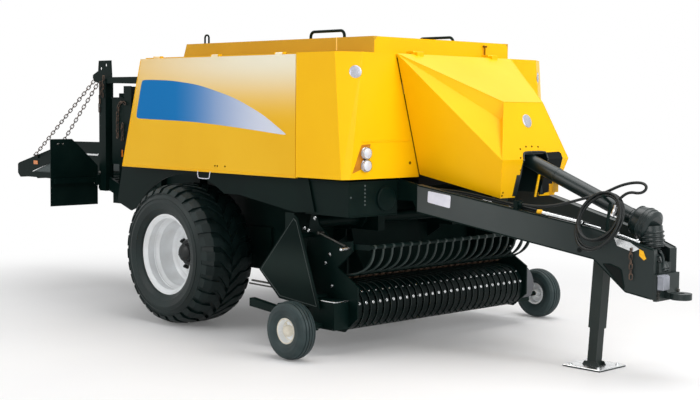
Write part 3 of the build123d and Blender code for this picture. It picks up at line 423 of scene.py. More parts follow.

# %% [markdown]
# ## The hose's coupler
# A quick coupler has a knurled sleeve that slides back between two collars. The plain CAD cylinder
# could stay, but it sits in the middle of the coil where the eye goes, so a turned profile with its
# grip rings replaces it.

# %% Coupler
hose_curve.materials.append(hose_black)
SLEEVE = [(0, 0.012), (0.003, 0.0165), (0.02, 0.0165), (0.022, 0.0142), (0.036, 0.0142), (0.038, 0.017),
          (0.044, 0.017), (0.046, 0.0158), (0.05, 0.0158), (0.052, 0.017), (0.064, 0.017), (0.066, 0.0152),
          (0.088, 0.0152), (0.0945, 0.0128), (0.0945, 0.0085), (0.07, 0.0085)]
coupler = bmesh.new()
add_profile(coupler, on_coil(102, 92.8), -COIL_UP, SLEEVE, 32)
coupler_sleeve = make_piece("hose_coupler_sleeve", coupler, coupler_chrome, "root")
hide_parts("hose_coupler")

# %% [markdown]
# ## Rim dishes
# A main wheel is a deep white dish: a rolled lip, two pressed steps and the bolted centre. Boolean
# cuts in the CAD rim could give the steps, but they would change its shape. A thin turned skin lies
# on its inner wall instead, with two rings of round wire for the rolled edges that shine.

# %% Rim dishes
TYRE_Y, AXLE_Z = 1110, 650  # the middle of a main tyre and the height of its axle
DISC_OUT = -60  # the wheel disc's outer face, seen from the middle of the tyre
DISH = [(0.0005, 0.121), (0.004, 0.124), (0.004, 0.196), (0.012, 0.206), (0.014, 0.212), (0.014, 0.238),
        (0.03, 0.254), (0.034, 0.262), (0.04, 0.278), (0.075, 0.292), (0.12, 0.2985), (0.175, 0.3005)]


def add_ring(mesh, centre, axis, radius, wire, steps=32, sides=10):
    """A closed ring of round wire."""
    first, second = crossing(axis)
    axis = Vector(axis).normalized()
    loops = []
    for turn in turns(steps):
        out = first * math.cos(turn) + second * math.sin(turn)
        loops.append([mesh.verts.new(Vector(centre) + out * (radius + wire * math.cos(around))
                                     + axis * wire * math.sin(around)) for around in turns(sides)])
    add_skin(mesh, loops, closed=True)


def wheel_place(side, out, radius=0.0, turn=0.0):
    """A place on a main wheel: millimetres outwards from the tyre's middle, radius and angle."""
    angle = math.radians(turn)
    return at(radius * math.cos(angle), side * (TYRE_Y + out), AXLE_Z + radius * math.sin(angle))


for side, name in SIDES:
    outwards = Vector((0, side, 0))
    dish = bmesh.new()
    add_profile(dish, wheel_place(side, DISC_OUT), outwards, DISH, 96, closed=False)
    add_ring(dish, wheel_place(side, 240), outwards, 0.362, 0.009, 96, 12)
    add_ring(dish, wheel_place(side, 150), outwards, 0.3275, 0.006, 96, 10)
    make_piece(f"rim_dish_{name}", dish, rim_white, f"wheel_{name}")
print("depth of a dish", DISH[-1][0])

# %% [markdown]
# ## Wheel nuts and hubs
# Eight long nuts on washers hold the disc, round a black hub with a domed cap that has six small
# bolts. Each could be copied from one nut by an array, but the turned profiles are short enough to
# be placed one by one. A bolt is a washer with a hexagon head: a turned shape with six sides.

# %% Wheel nuts and hubs
NUTS, NUT_CIRCLE, CAP_BOLTS = 8, 168, 6
# Washer, nut and the stud that stands out of it, each with its number of sides
NUT_SHAPES = (([(0, 0.027), (0.006, 0.027), (0.008, 0.024)], 20),
              ([(0.006, 0.021), (0.026, 0.021), (0.03, 0.018)], 6),
              ([(0.024, 0.011), (0.042, 0.011), (0.045, 0.009)], 12))
HUB_CAP = [(0, 0.079), (0.006, 0.079), (0.014, 0.071), (0.024, 0.05), (0.029, 0.026), (0.03, 0)]
HUB_FLANGE = [(0, 0.138), (0.012, 0.138), (0.018, 0.128), (0.056, 0.124), (0.066, 0.114), (0.068, 0.078)]


def add_bolt(mesh, place, axis, size=0.012):
    """A washer with a hexagon head on it; size is the head's radius."""
    axis = Vector(axis).normalized()
    place = Vector(place) - axis * 0.001
    add_profile(mesh, place, axis,
                [(0, size * 1.45), (size * 0.3, size * 1.45), (size * 0.36, size * 1.3)], 16)
    add_profile(mesh, place + axis * size * 0.3, axis,
                [(0, size), (size * 0.75, size), (size * 0.9, size * 0.82)], 6)


for side, name in SIDES:
    outwards = Vector((0, side, 0))
    bolts = bmesh.new()
    for number in range(NUTS):
        place = wheel_place(side, DISC_OUT + 4, NUT_CIRCLE, number * 360 / NUTS + 12)
        for shape, sides in NUT_SHAPES:
            add_profile(bolts, place, outwards, shape, sides)
    add_profile(bolts, wheel_place(side, 50) - outwards * 0.001, outwards, HUB_CAP, 48)
    for number in range(CAP_BOLTS):
        add_bolt(bolts, wheel_place(side, 59, 62, number * 360 / CAP_BOLTS), outwards, 0.007)
    add_profile(bolts, wheel_place(side, DISC_OUT + 4), outwards, HUB_FLANGE, 48)
    make_piece(f"wheel_nuts_{name}", bolts, hub_black, f"wheel_{name}")
print("nuts on a wheel", NUTS)

# %% [markdown]
# ## Valves and the tyres' ring lines
# A bent valve stands in the dish, and the tyre's side has raised ring lines from its mould. They
# could be a bump in the rubber, but the largest of them cast a line of shadow, so they are rings of
# thin wire half sunk in the tyre. The valve is swept along a short curve.

# %% Valves and ring lines
VALVE = ((-40, 292), (20, 290), (70, 280))  # distance out and radius, in millimetres
# Each ring line: distance out in millimetres, radius and wire in metres
RING_LINES = ((265, 0.388, 0.006), (296, 0.425, 0.004), (303, 0.455, 0.003), (306, 0.515, 0.004),
              (284, 0.56, 0.005))
worn_steel = finish("worn dark steel", (52, 54, 52), (84, 83, 79), 9, (0.3, 0.6), 160, 0.1, metal=0.85)


def add_tube(mesh, points, radius, sides=10, round_off=6):
    """A bent round bar through points in metres; a smooth curve eases its corners."""
    curve = bpy.data.curves.new("bent bar", "CURVE")
    curve.dimensions = "3D"
    spline = curve.splines.new("NURBS")
    spline.points.add(len(points) - 1)
    for spot, point in zip(spline.points, points):
        spot.co = (*point, 1)
    spline.order_u = 3
    spline.use_endpoint_u = True
    spline.resolution_u = round_off
    curve.bevel_depth = radius
    curve.bevel_resolution = max(0, sides // 2 - 2)
    curve.use_fill_caps = True
    holder = bpy.data.objects.new("bent bar", curve)
    mesh.from_mesh(holder.to_mesh())
    holder.to_mesh_clear()
    bpy.data.objects.remove(holder)
    bpy.data.curves.remove(curve)


for side, name in SIDES:
    valve = bmesh.new()
    add_tube(valve, [wheel_place(side, out, radius, -62) for out, radius in VALVE], 0.006)
    make_piece(f"valve_{name}", valve, worn_steel, f"wheel_{name}")
    ribs = bmesh.new()
    for out, radius, thick in RING_LINES:
        add_ring(ribs, wheel_place(side, out - 1), (0, side, 0), radius, thick, 96, 8)
    make_piece(f"tyre_rings_{name}", ribs, tyre_black, f"wheel_{name}")
print("ring lines on a tyre", len(RING_LINES))

# %% [markdown]
# ## Gauge wheels
# The small wheels that carry the pick-up have a pressed cream centre with a domed cap and four bolts,
# inside a rolled lip. The cap and the lips could be one profile, but as separate pieces on the same
# body each can take another paint of its own.

# %% Gauge wheels
GAUGE_WHEEL = (2000, 1600, 235)
GAUGE_CAP = [(-0.02, 0.047), (0.006, 0.046), (0.02, 0.038), (0.03, 0.024), (0.034, 0)]
rim_cream = finish("cream rim enamel", (228, 222, 206), (212, 204, 186), 14, (0.3, 0.45), 60, 0.03)
for side, name in SIDES:
    outwards = Vector((0, side, 0))
    centre = at(GAUGE_WHEEL[0], side * GAUGE_WHEEL[1], GAUGE_WHEEL[2])
    cap = bmesh.new()
    add_profile(cap, centre + outwards * 0.038, outwards, GAUGE_CAP, 32)
    for number in range(4):
        turn = math.radians(45 + 90 * number)
        place = Vector((math.cos(turn) * 0.064, side * 0.0115, math.sin(turn) * 0.064))
        add_bolt(cap, centre + place, outwards, 0.008)
    make_piece(f"gauge_cap_{name}", cap, rim_cream, f"gauge_wheel_{name}")
    lip = bmesh.new()
    add_ring(lip, centre + outwards * 0.058, outwards, 0.099, 0.006, 64, 10)
    add_ring(lip, centre + outwards * 0.013, outwards, 0.078, 0.004, 64, 8)
    make_piece(f"gauge_lip_{name}", lip, rim_cream, f"gauge_wheel_{name}")
print("gauge wheels", len(SIDES))

# %% [markdown]
# ## The chute's chains
# Two pairs of chains hold the bale chute. A chain looks right only when each link is a bent ring of
# round wire that passes through the next, so a texture on a bar won't do. Each link is a swept oval,
# turned a quarter from its neighbour, on the line of the plain chain that it replaces.

# %% Chains
# The hook at the top and the pin at the bottom of each chain: x and height
CHAINS = {"outer": ((-2424, 2318), (-3735, 1420)), "inner": ((-2382, 2276), (-3160, 1564))}
CHAIN_Y = 514
LINK_PITCH = 56
HOOK_DROP = 14.3  # the first link hangs this far below its hook's centre
LINK_OVERLAP, LINK_HALF_WIDTH, LINK_WIRE = 0.005, 0.0152, 0.0048


def add_link(mesh, middle, along, across, half_length, half_width, wire):
    """One oval link of round wire."""
    normal = along.cross(across)
    straight = half_length - half_width
    loops = []
    for step in range(20):
        turn = 2 * math.pi * (step + 0.5) / 20
        out = along * math.cos(turn) + across * math.sin(turn)
        centre = middle + out * half_width + along * math.copysign(straight, math.cos(turn))
        loops.append([mesh.verts.new(centre + (out * math.cos(around) + normal * math.sin(around)) * wire)
                      for around in turns(8)])
    add_skin(mesh, loops, closed=True)


def chain_line(hook, pin):
    """Start, end and direction of a chain, in millimetres."""
    start, end = Vector((hook[0], 0, hook[1])), Vector((pin[0], 0, pin[1]))
    down = (end - start).normalized()
    return start + down * HOOK_DROP, end, down


for name, (hook, pin) in CHAINS.items():
    start, end, down = chain_line(hook, pin)
    links = round((end - start).length / LINK_PITCH)
    pitch = (end - start).length / links
    quarter = down.cross(LEFTWARD)
    chain = bmesh.new()
    for side in (RIGHT, LEFT):
        for number in range(links):
            spot = start + down * pitch * (number + 0.5)
            flat = (quarter + LEFTWARD if number % 2 else quarter - LEFTWARD).normalized()
            add_link(chain, at(spot.x, side * CHAIN_Y, spot.z), down, flat, pitch / 2000 + LINK_OVERLAP,
                     LINK_HALF_WIDTH, LINK_WIRE)
    piece = make_piece(f"chain_{name}", chain, chain_rust, f"{name}_chains")
    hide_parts(f"chains_{name}")
    print("links of the", name, "chain", links)

# %% [markdown]
# ## The chains' pins
# Each chain ends on a pin through the chute's side, with a bolt head outside. The pins belong to the
# chute, not to the chain, because the chain swings about its hook while the chute folds about its
# own hinge. A bar with softened ends is enough for a pin.

# %% Chain pins
def add_rod(mesh, start, end, radius, sides=16):
    """A round bar between two points in metres, with softened ends."""
    run = Vector(end) - Vector(start)
    edge = min(radius * 0.25, run.length * 0.2)
    add_profile(mesh, start, run, [(0, radius - edge), (edge, radius), (run.length - edge, radius),
                                   (run.length, radius - edge)], sides)


PIN_INNER, PIN_OUTER = 492, 533
for name, (hook, pin) in CHAINS.items():
    start, end, down = chain_line(hook, pin)
    spot = end - down * 6
    pins = bmesh.new()
    for side in (RIGHT, LEFT):
        add_rod(pins, at(spot.x, side * PIN_INNER, spot.z), at(spot.x, side * PIN_OUTER, spot.z), 0.0045, 12)
        add_bolt(pins, at(spot.x, side * PIN_OUTER, spot.z), (0, side, 0), 0.007)
    make_piece(f"chain_pins_{name}", pins, worn_steel, "chute")
print("pins", 2 * len(CHAINS))

# %% [markdown]
# ## Side doors
# A side door is one large pressed sheet with a fold along its foot and its slanted rear edge, a wire
# handle under the fold and three small bolts. The folds could be cut into the panel, but a thin rod
# of the same paint along the edge rolls the light in the same way and leaves the panel alone.

# %% Side doors
DOOR_SKIN = 1315
DOOR_FOLDS = (((-762, 1446), (1702, 1446)), ((-766, 1446), (-466, 2432)))
# The wire handle: x, distance out of the skin, height
DOOR_HANDLE = ((408, -6, 1442), (410, 4, 1426), (416, 4, 1384), (432, 4, 1371), (568, 4, 1371),
               (582, 4, 1384), (586, 4, 1426), (588, -6, 1442))
plate_white = finish("blank plate", (226, 227, 238), (214, 215, 228), 12, (0.3, 0.45), 60, 0.02)
seam_dark = finish("shadow gap", (126, 88, 4), (100, 70, 4), 6, (0.6, 0.8), 60, 0.02, shine=0.1)


def add_edge(mesh, side, out, start, end, radius):
    """A thin rod between two (x, height) places, at one distance from the machine's middle."""
    near, far = (at(x, side * out, z) for x, z in (start, end))
    add_rod(mesh, near, far, radius, 8)


for side, name in SIDES:
    body = f"door_{name}"
    trim = bmesh.new()
    for low, high in DOOR_FOLDS:
        add_edge(trim, side, DOOR_SKIN + 0.5, low, high, 0.004)
    make_piece(f"door_folds_{name}", trim, yellow, body, 0.001)
    handle = bmesh.new()
    add_tube(handle, [at(x, side * (DOOR_SKIN + out), z) for x, out, z in DOOR_HANDLE], 0.004)
    make_piece(f"door_handle_{name}", handle, plate_white, body)
    dots = bmesh.new()
    for x in (657, 690, 797):
        add_bolt(dots, at(x, side * DOOR_SKIN, 1490), (0, side, 0), 0.006)
    make_piece(f"door_bolts_{name}", dots, seam_dark, body)
print("side doors", len(SIDES))

# %% [markdown]
# ## The stripe
# A blue film with rounded corners sweeps to a point along each side door and turns paler towards its
# tip. An image could carry it, but one flat outline with a colour ramp stays sharp from close by. It
# stands less than a millimetre off the door, as a real film does.

# %% Stripe
STRIPE = [(-452, 2232), (-424, 2256), (0, 2246), (420, 2204), (920, 2092), (1300, 1952), (1540, 1824),
          (1612, 1784), (1520, 1788), (1240, 1812), (800, 1846), (300, 1876), (-500, 1890), (-536, 1902),
          (-532, 1950)]
stripe_blue = finish("blue stripe film", (0, 108, 176), (0, 114, 182), 0.9, (0.3, 0.4), 60, 0.01, shine=0.1)
fade(stripe_blue, [(0.0, (0, 110, 177)), (0.22, (30, 122, 187)), (0.42, (118, 160, 210)),
                   (0.66, (176, 192, 222)), (1.0, (214, 219, 234))], "X", -0.75, 1.25)


def rounded_outline(points):
    """An outline whose corners are eased."""
    eased = []
    for number, here in enumerate(points):
        before, after = points[number - 1], points[(number + 1) % len(points)]
        start = [here[i] * 0.65 + before[i] * 0.35 for i in (0, 1)]
        end = [here[i] * 0.65 + after[i] * 0.35 for i in (0, 1)]
        for share in (0, 0.25, 0.5, 0.75, 1):
            pull = ((1 - share) ** 2, 2 * share * (1 - share), share ** 2)
            eased.append(tuple(start[i] * pull[0] + here[i] * pull[1] + end[i] * pull[2] for i in (0, 1)))
    return eased


def add_slab(mesh, near, far):
    """A closed slab between two outlines with as many points."""
    loops = [[mesh.verts.new(point) for point in outline] for outline in (near, far)]
    for loop in loops:
        mesh.faces.new(loop)
    add_skin(mesh, loops)


outline = rounded_outline(STRIPE)
for side, name in SIDES:
    film = bmesh.new()
    add_slab(film, [at(x, side * (DOOR_SKIN + 0.8), z) for x, z in outline],
             [at(x, side * (DOOR_SKIN - 0.1), z) for x, z in outline])
    make_piece(f"door_stripe_{name}", film, stripe_blue, f"door_{name}")
print("stripe outline points", len(outline))

# %% [markdown]
# ## Corner covers
# Each corner cover is one folded sheet with a slanted seam to the cover beside it, a catch and a
# round hole near its top that a plain cap closes. The seam could be a cut, but a dark strip half a
# millimetre proud of the sheet reads as the same shadow gap, and the solid stays whole.

# %% Corner covers
COVER_X = 2295
badge_grey = finish("plain badge cap", (188, 190, 198), (168, 170, 180), 20, (0.2, 0.35), 60, 0.02, metal=0.5)
seam_soft = finish("cover seam", (190, 142, 4), (170, 124, 4), 6, (0.6, 0.8), 60, 0.02, shine=0.1)


def add_plate(mesh, outline, origin, across, up, thick):
    """A flat plate: its outline in millimetres along two directions, made thick towards its normal."""
    across, up = Vector(across).normalized(), Vector(up).normalized()
    near = [Vector(origin) + across * a / 1000 + up * b / 1000 for a, b in outline]
    add_slab(mesh, near, [point + across.cross(up) * thick for point in near])


for side, name in SIDES:
    cover = bmesh.new()
    for high in (1744, 1752):
        add_rod(cover, at(COVER_X, side * 1116, high), at(COVER_X, side * 552, high - 6), 0.005, 8)
    make_piece(f"cover_fold_{name}", cover, yellow, "root", 0.001)
    cap = bmesh.new()
    add_profile(cap, at(2272, side * 1174, 2299), (0.87, side * 0.5, 0),
                [(0, 0.052), (0.003, 0.052), (0.006, 0.048), (0.007, 0.042)], 48)
    make_piece(f"cover_badge_{name}", cap, badge_grey, "root")
    seam = bmesh.new()
    add_plate(seam, [(side * 735, 2452), (side * 738.5, 2452), (side * 443.5, 1462), (side * 440, 1462)],
              at(COVER_X - 1, 0, 0), LEFTWARD, UPWARD, 0.002)
    make_piece(f"cover_seam_{name}", seam, seam_soft, "root")
    latch = bmesh.new()
    add_profile(latch, at(COVER_X, side * 552, 1560), FORWARD,
                [(0, 0.013), (0.002, 0.013), (0.003, 0.009)], 20)
    make_piece(f"cover_latch_{name}", latch, seam_dark, "root")
print("corner covers", len(SIDES))

# %% [markdown]
# ## Lamps in the corner covers
# A work lamp stands above a marker lamp in a recess that looks brown in its own shade. Real glass
# over a reflector would be slow, and too small to show. A domed lens with a clear coat, inside a
# chrome rim with three tiny screws, gives the same bright dot with a darker edge.

# %% Lamps
LAMP_HEIGHTS = (1650, 1550)
RECESS = ((1122, 1716), (1019, 1722), (1035, 1675), (1124, 1520), (1222, 1490), (1186, 1566))
LENS_DOME = [(0, 0.043), (0.004, 0.041), (0.009, 0.03), (0.012, 0.015), (0.013, 0)]
recess_brown = finish("lamp recess", (204, 134, 34), (176, 108, 30), 10, (0.5, 0.7), 60, 0.03, shine=0.1)
for side, name in SIDES:
    recess = bmesh.new()
    add_plate(recess, [(side * y, z) for y, z in RECESS], at(COVER_X + 0.5, 0, 0), LEFTWARD, UPWARD, 0.002)
    make_piece(f"lamp_recess_{name}", recess, recess_brown, "root")
    rim, glass = bmesh.new(), bmesh.new()
    for z in LAMP_HEIGHTS:
        place = at(2323, side * 1080, z)
        add_ring(rim, place, FORWARD, 0.045, 0.006, 40, 10)
        add_ring(rim, place - FORWARD * 0.02, FORWARD, 0.047, 0.004, 40, 8)
        add_profile(glass, place + FORWARD * 0.0005, FORWARD, LENS_DOME, 32)
        for number in range(3):
            turn = math.radians(120 * number + 30)
            screw = place + Vector((0.004, math.cos(turn) * 0.046, math.sin(turn) * 0.046))
            add_bolt(rim, screw, FORWARD, 0.003)
    make_piece(f"lamp_rims_{name}", rim, coupler_chrome, "root")
    make_piece(f"lamp_glass_{name}", glass, lamp_clear, "root")
print("lamps", 2 * len(LAMP_HEIGHTS))

# %% [markdown]
# ## The mouth of the front hood
# The drive shaft leaves the hood through a mouth with a black stepped lining. The hood's front leans,
# so a helper gives places on it by y and height, on the upper face down to the chin and the lower
# face below it. The lining is a few slabs and a bent edge, since the mouth is only a few sheets.

# %% Hood mouth
NOSE = {"brow": (3040, 255, 2070), "chin": (3180, 433, 1610), "foot": (3100, 350, 1300),
        "top": (2305, 735, 2460), "fold": (3035, 268, 1930)}
MOUTH_HALF = 150
MOUTH_EDGE = ((-157, 1600), (-157, 1662), (-100, 1668), (0, 1669), (100, 1668), (157, 1662), (157, 1600))
MOUTH_WALL = [(2560, 1330), (3104, 1330), (3172, 1608), (3160, 1652), (2560, 1652)]


def on_front(y, z, out=0.0):
    """A place on the hood's front: its upper face down to the chin, its lower face below it."""
    brow, chin, foot = NOSE["brow"], NOSE["chin"], NOSE["foot"]
    high, low = (brow, chin) if z > chin[2] else (chin, foot)
    share = (z - low[2]) / (high[2] - low[2])
    normal = Vector((high[2] - low[2], 0, low[0] - high[0])).normalized()
    return at(low[0] + (high[0] - low[0]) * share, y, z) + normal * out


def add_box(mesh, x, y, z):
    """A box between pairs of the drawing's millimetres."""
    low, high = at(min(x), min(y), min(z)), at(max(x), max(y), max(z))
    floor_corners = ((low.x, low.y), (high.x, low.y), (high.x, high.y), (low.x, high.y))
    add_slab(mesh, [Vector((px, py, low.z)) for px, py in floor_corners],
             [Vector((px, py, high.z)) for px, py in floor_corners])


lining = bmesh.new()
for side in (RIGHT, LEFT):
    for outer, low, high in ((165, 1486, 1618), (205, 1312, 1486)):
        slab = ((MOUTH_HALF, low), (MOUTH_HALF, high), (outer, high), (outer, low))
        corners = [on_front(side * y, z, 0.003) for y, z in slab]
        add_slab(lining, corners, [corner - FORWARD * 0.012 for corner in corners])
    add_plate(lining, MOUTH_WALL, at(0, side * 156, 0), FORWARD, UPWARD, 0.006)
add_tube(lining, [on_front(y, z, 0.002) for y, z in MOUTH_EDGE], 0.008, sides=8)
add_box(lining, (2600, 3160), (-158, 158), (1650, 1656))
make_piece("hood_lining", lining, shaft_black, "hood")
print("mouth width", 2 * MOUTH_HALF)

# %% [markdown]
# ## Painted shade in the mouth
# On the machine's left the mouth is wider, and a yellow edge of the frame shows inside it. The solid
# could be cut again for that. A thin black patch of painted shade over the yellow sheet widens the
# mouth as well, because one sees no more of it than an outline against the dark.

# %% Painted shade in the mouth
PATCHES = (((150, 1660), (322, 1664), (345, 1650), (352, 1625), (352, 1612), (150, 1612)),
           ((150, 1609), (352, 1609), (345, 1400), (300, 1335), (196, 1320), (150, 1400)))
pocket_black = finish("pocket shadow", (4, 9, 9), (8, 14, 13), 8, (0.6, 0.8), 60, 0.03, shine=0.15)
# Black patches and a black rod along the fold: painted shade inside the mouth
shade = bmesh.new()
for patch in PATCHES:
    corners = [on_front(y, z, 0.004) for y, z in patch]
    add_slab(shade, corners, [corner - FORWARD * 0.003 for corner in corners])
add_rod(shade, on_front(150, 1610, 0.002), on_front(352, 1610, 0.002), 0.005, 8)
make_piece("hood_mouth_painted_shade", shade, pocket_black, "hood")
edges = bmesh.new()
add_plate(edges, [(118, 1478), (146, 1482), (92, 1296), (68, 1296)], at(3112, 0, 0), LEFTWARD, UPWARD, 0.006)
make_piece("hood_inner_edges", edges, yellow, "hood")
print("patches", len(PATCHES))

# %% [markdown]
# ## Bolts, cap and creases of the hood
# Small bolts stand round the mouth, a plain cap closes the round hole above it, and the facets meet
# in pressed creases. A crease could be a wider bevel, but then all the hood's edges would get it. A
# thin rod of the same paint rounds only the edges that are pressed on the real hood.

# %% Hood details
HOOD_BOLTS = ((-176, 1694), (-96, 1712), (-20, 1712), (60, 1708), (-196, 1624), (-160, 1622), (-170, 1525),
              (-335, 1347), (-338, 1322), (335, 1347))
CREASES = (("brow", "chin"), ("chin", "foot"), ("top", "chin"), ("top", "fold"), ("top", "brow"))
dots = bmesh.new()
for y, z in HOOD_BOLTS:
    add_bolt(dots, on_front(y, z), (1, 0, 0.25), 0.006)
make_piece("hood_bolts", dots, seam_dark, "hood")
badge = bmesh.new()
normal = (on_front(0, 1900, 0.01) - on_front(0, 1900)).normalized()
add_profile(badge, on_front(-10, 1918), normal,
            [(0, 0.056), (0.003, 0.056), (0.006, 0.052), (0.007, 0.044)], 48)
make_piece("hood_badge", badge, badge_grey, "hood")
creases = bmesh.new()
for side in (RIGHT, LEFT):
    points = {key: at(x, side * y, z) for key, (x, y, z) in NOSE.items()}
    for here, there in CREASES:
        add_rod(creases, points[here], points[there], 0.003, 8)
add_rod(creases, at(3040, -255, 2070), at(3040, 255, 2070), 0.003, 8)
make_piece("hood_creases", creases, yellow, "hood")
print("hood bolts", len(HOOD_BOLTS))

# %% [markdown]
# ## Roof
# The raised cover on the roof has flanks of a duller yellow, which is painted shade, a pale joint
# across and a few catches. One material can't have two shades on one solid without a mask, so each
# flank gets a thin sheet of its own in the duller paint.

# %% Roof
# From the front foot round, so that the inner face, which isn't flat, folds alike on both sides
FLANK = ((2169, 2461), (2169, 2601), (-352, 2601), (-384, 2522), (-410, 2461))
# The flanks' duller yellow is painted shade on the roof's sides
roof_shade = finish("painted shade on roof flanks", (204, 164, 46), (196, 156, 42), 1.2, (0.4, 0.5), 14, 0.02, shine=0.15)
seam_pale = finish("lid joint paint", (254, 222, 130), (250, 214, 110), 4, (0.3, 0.45), 60, 0.02)
flank = bmesh.new()
for side in (RIGHT, LEFT):
    add_slab(flank, [at(x, side * 864, z) for x, z in FLANK],
             [at(x, side * (859 if z < 2560 else 800), z) for x, z in FLANK])
make_piece("roof_flanks", flank, roof_shade, "root")
lid = bmesh.new()
add_box(lid, (1721, 1733), (-866, 866), (2492, 2603))
make_piece("roof_joints", lid, seam_pale, "root", 0.001)
catches = bmesh.new()
for side in (RIGHT, LEFT):
    add_box(catches, (1719, 1732), (side * 864, side * 867), (2462, 2486))
add_rod(catches, at(2186, 520, 2470), at(2186, 520, 2564), 0.006, 12)
add_rod(catches, at(2186, 496, 2564), at(2186, 544, 2564), 0.009, 12)
make_piece("roof_catches", catches, seam_dark, "root", 0.001)
print("roof joints", 1)

# %% [markdown]
# ## Bands of the pick-up
# Curved steel bands strip the straw off the tines that turn inside them. Two rows of bright round
# bolt heads hold them, and one folded edge of each band catches the light as a grey line, a painted
# highlight. The heads are turned, and the line is a thin grey bar along the band, since a bevel would
# be too fine to be seen from afar.

# %% Pick-up bands
REEL_X, REEL_Z = 2030, 370
BANDS = 27
BAND_PITCH = 2 * 1090 / BANDS
BAND_TOP, BAND_FOOT = (1797, 559), (1797, 181)
FOLD_RADIUS, FOLD_SIDE = 190, -24
bright_zinc = finish("bright zinc", (224, 226, 226), (196, 198, 200), 26, (0.16, 0.34), 220, 0.04, metal=1)
# A dark grey for the wind guard, also used for painted highlights along the bands' and shields' edges
grey_paint_and_edge_highlight = finish("dark grey paint and painted edge highlight", (40, 50, 48), (50, 60, 58), 6, (0.3, 0.5), 90, 0.04, shine=0.3)
heads, folds = bmesh.new(), bmesh.new()
for number in range(BANDS):
    y = (number - BANDS // 2) * BAND_PITCH
    for lift, size in ((15, 0.0085), (46, 0.006)):
        way = Vector((math.cos(math.radians(lift)), 0, math.sin(math.radians(lift))))
        add_profile(heads, at(REEL_X, y, REEL_Z) + way * 0.1895, way,
                    [(0, size * 1.5), (0.003, size * 1.5), (0.004, size), (0.009, size * 0.8), (0.01, 0)], 12)
    arc = [(REEL_X + FOLD_RADIUS * math.cos(turn), REEL_Z + FOLD_RADIUS * math.sin(turn))
           for turn in (math.radians(90 - 22.5 * step) for step in range(9))]
    line = [at(x, y + FOLD_SIDE, z) for x, z in (BAND_TOP, *arc, BAND_FOOT)]
    add_tube(folds, line, 0.004, sides=6, round_off=2)
make_piece("band_bolts", heads, bright_zinc, "pickup")
# The grey bar along each band is a painted highlight on its folded edge
make_piece("band_fold_highlights", folds, grey_paint_and_edge_highlight, "pickup")
print("band bolts", 2 * BANDS)

# %% [markdown]
# ## Tine springs
# Behind the bands, small bronze coil springs sit on a bar and let each row of tines give way to a
# stone. A screw modifier could wind them, but a swept curve through five turns of points keeps all
# the springs in one mesh, and each is only a few pixels wide.

# %% Tine springs
SPRING_BAR = (1950, 606)
SPRING_RADIUS, SPRING_LENGTH = 22, 52
SPRING_STEPS = 30  # six for each turn of the wire
spring_bronze = finish("spring bronze", (92, 72, 54), (58, 46, 38), 20, (0.45, 0.65), 200, 0.1, metal=0.5)


def spring_line(y):
    """Turns of wire round the bar, centred on y."""
    return [at(SPRING_BAR[0] + SPRING_RADIUS * math.cos(step * math.pi / 3),
               y + SPRING_LENGTH * (step / SPRING_STEPS - 0.5),
               SPRING_BAR[1] + SPRING_RADIUS * math.sin(step * math.pi / 3))
            for step in range(SPRING_STEPS + 1)]


springs = bmesh.new()
add_rod(springs, at(SPRING_BAR[0], -1089, SPRING_BAR[1]), at(SPRING_BAR[0], 1089, SPRING_BAR[1]), 0.008, 12)
for number in range(BANDS - 1):
    add_tube(springs, spring_line((number - (BANDS - 2) / 2) * BAND_PITCH), 0.0045, sides=6, round_off=2)
make_piece("tine_springs", springs, spring_bronze, "pickup")
print("springs", BANDS - 1)

# %% [markdown]
# ## Ends of the pick-up
# Each end plate has bright bolts, a pin for the wind guard's stop and a small bracket of round bar,
# and long stays run back to the frame. A swept curve could follow bent bars, but all of these are
# straight, so a list of their ends is enough. They ride on the pick-up, so that they lift with it.

# %% Pick-up ends
END_BOLTS = ((1663, 978), (1606, 996), (1738, 1090), (1918, 800), (1873, 727), (1950, 542))
# Each bar: x, distance from the middle and height of both ends, radius, sides
END_BARS = (((2150, 1104, 872), (2150, 1206, 868), 0.013, 20),
            ((2152, 1271, 441), (2152, 1108, 441), 0.006, 10),
            ((1990, 1271, 441), (2152, 1271, 441), 0.006, 10))
STAY_BARS = (((1838, 1150, 976), (2145, 1150, 893), 0.009, 12),
             ((1838, 1100, 976), (1838, 1170, 976), 0.014, 12),
             ((1031, 1200, 505), (1620, 1200, 497), 0.009, 12),
             ((1031, 1230, 482), (1620, 1230, 474), 0.007, 12))


def add_bars(mesh, side, bars):
    """Round bars on one side of the machine."""
    for start, end, radius, sides in bars:
        near, far = (at(x, side * y, z) for x, y, z in (start, end))
        add_rod(mesh, near, far, radius, sides)


for side, name in SIDES:
    ends = bmesh.new()
    for x, z in END_BOLTS:
        add_bolt(ends, at(x, side * 1106, z), (0, side, 0), 0.011)
    add_bars(ends, side, END_BARS)
    make_piece(f"pickup_bolts_{name}", ends, bright_zinc, "pickup")
    stays = bmesh.new()
    add_bars(stays, side, STAY_BARS)
    add_box(stays, (1600, 1630), (side * 1190, side * 1290), (462, 520))
    make_piece(f"pickup_stays_{name}", stays, worn_steel, "pickup")
print("end bolts", 2 * len(END_BOLTS))

# %% [markdown]
# ## Shields
# A kite-shaped shield covers each end of the pick-up. Its foot is painted paler, as painted light, and
# its edges get grey lines as painted highlights. The CAD shield has the right outline, but only one
# paint, so a thin face with a graded finish lies on it, and rods of a lighter grey follow the edges.

# %% Shields
SHIELD_Y = 1302
SHIELD_EDGES = [(1690, 1095), (1275, 632), (1522, 432), (1975, 392), (1722, 1070)]
SHIELD_FACE = [(1700, 1112), (1262, 630), (1514, 418), (1996, 378), (1730, 1082)]
shield_paint_painted_light = finish("shield paint with painted light at its foot", (2, 17, 15), (6, 23, 20), 3, (0.35, 0.55), 90, 0.04, shine=0.05)
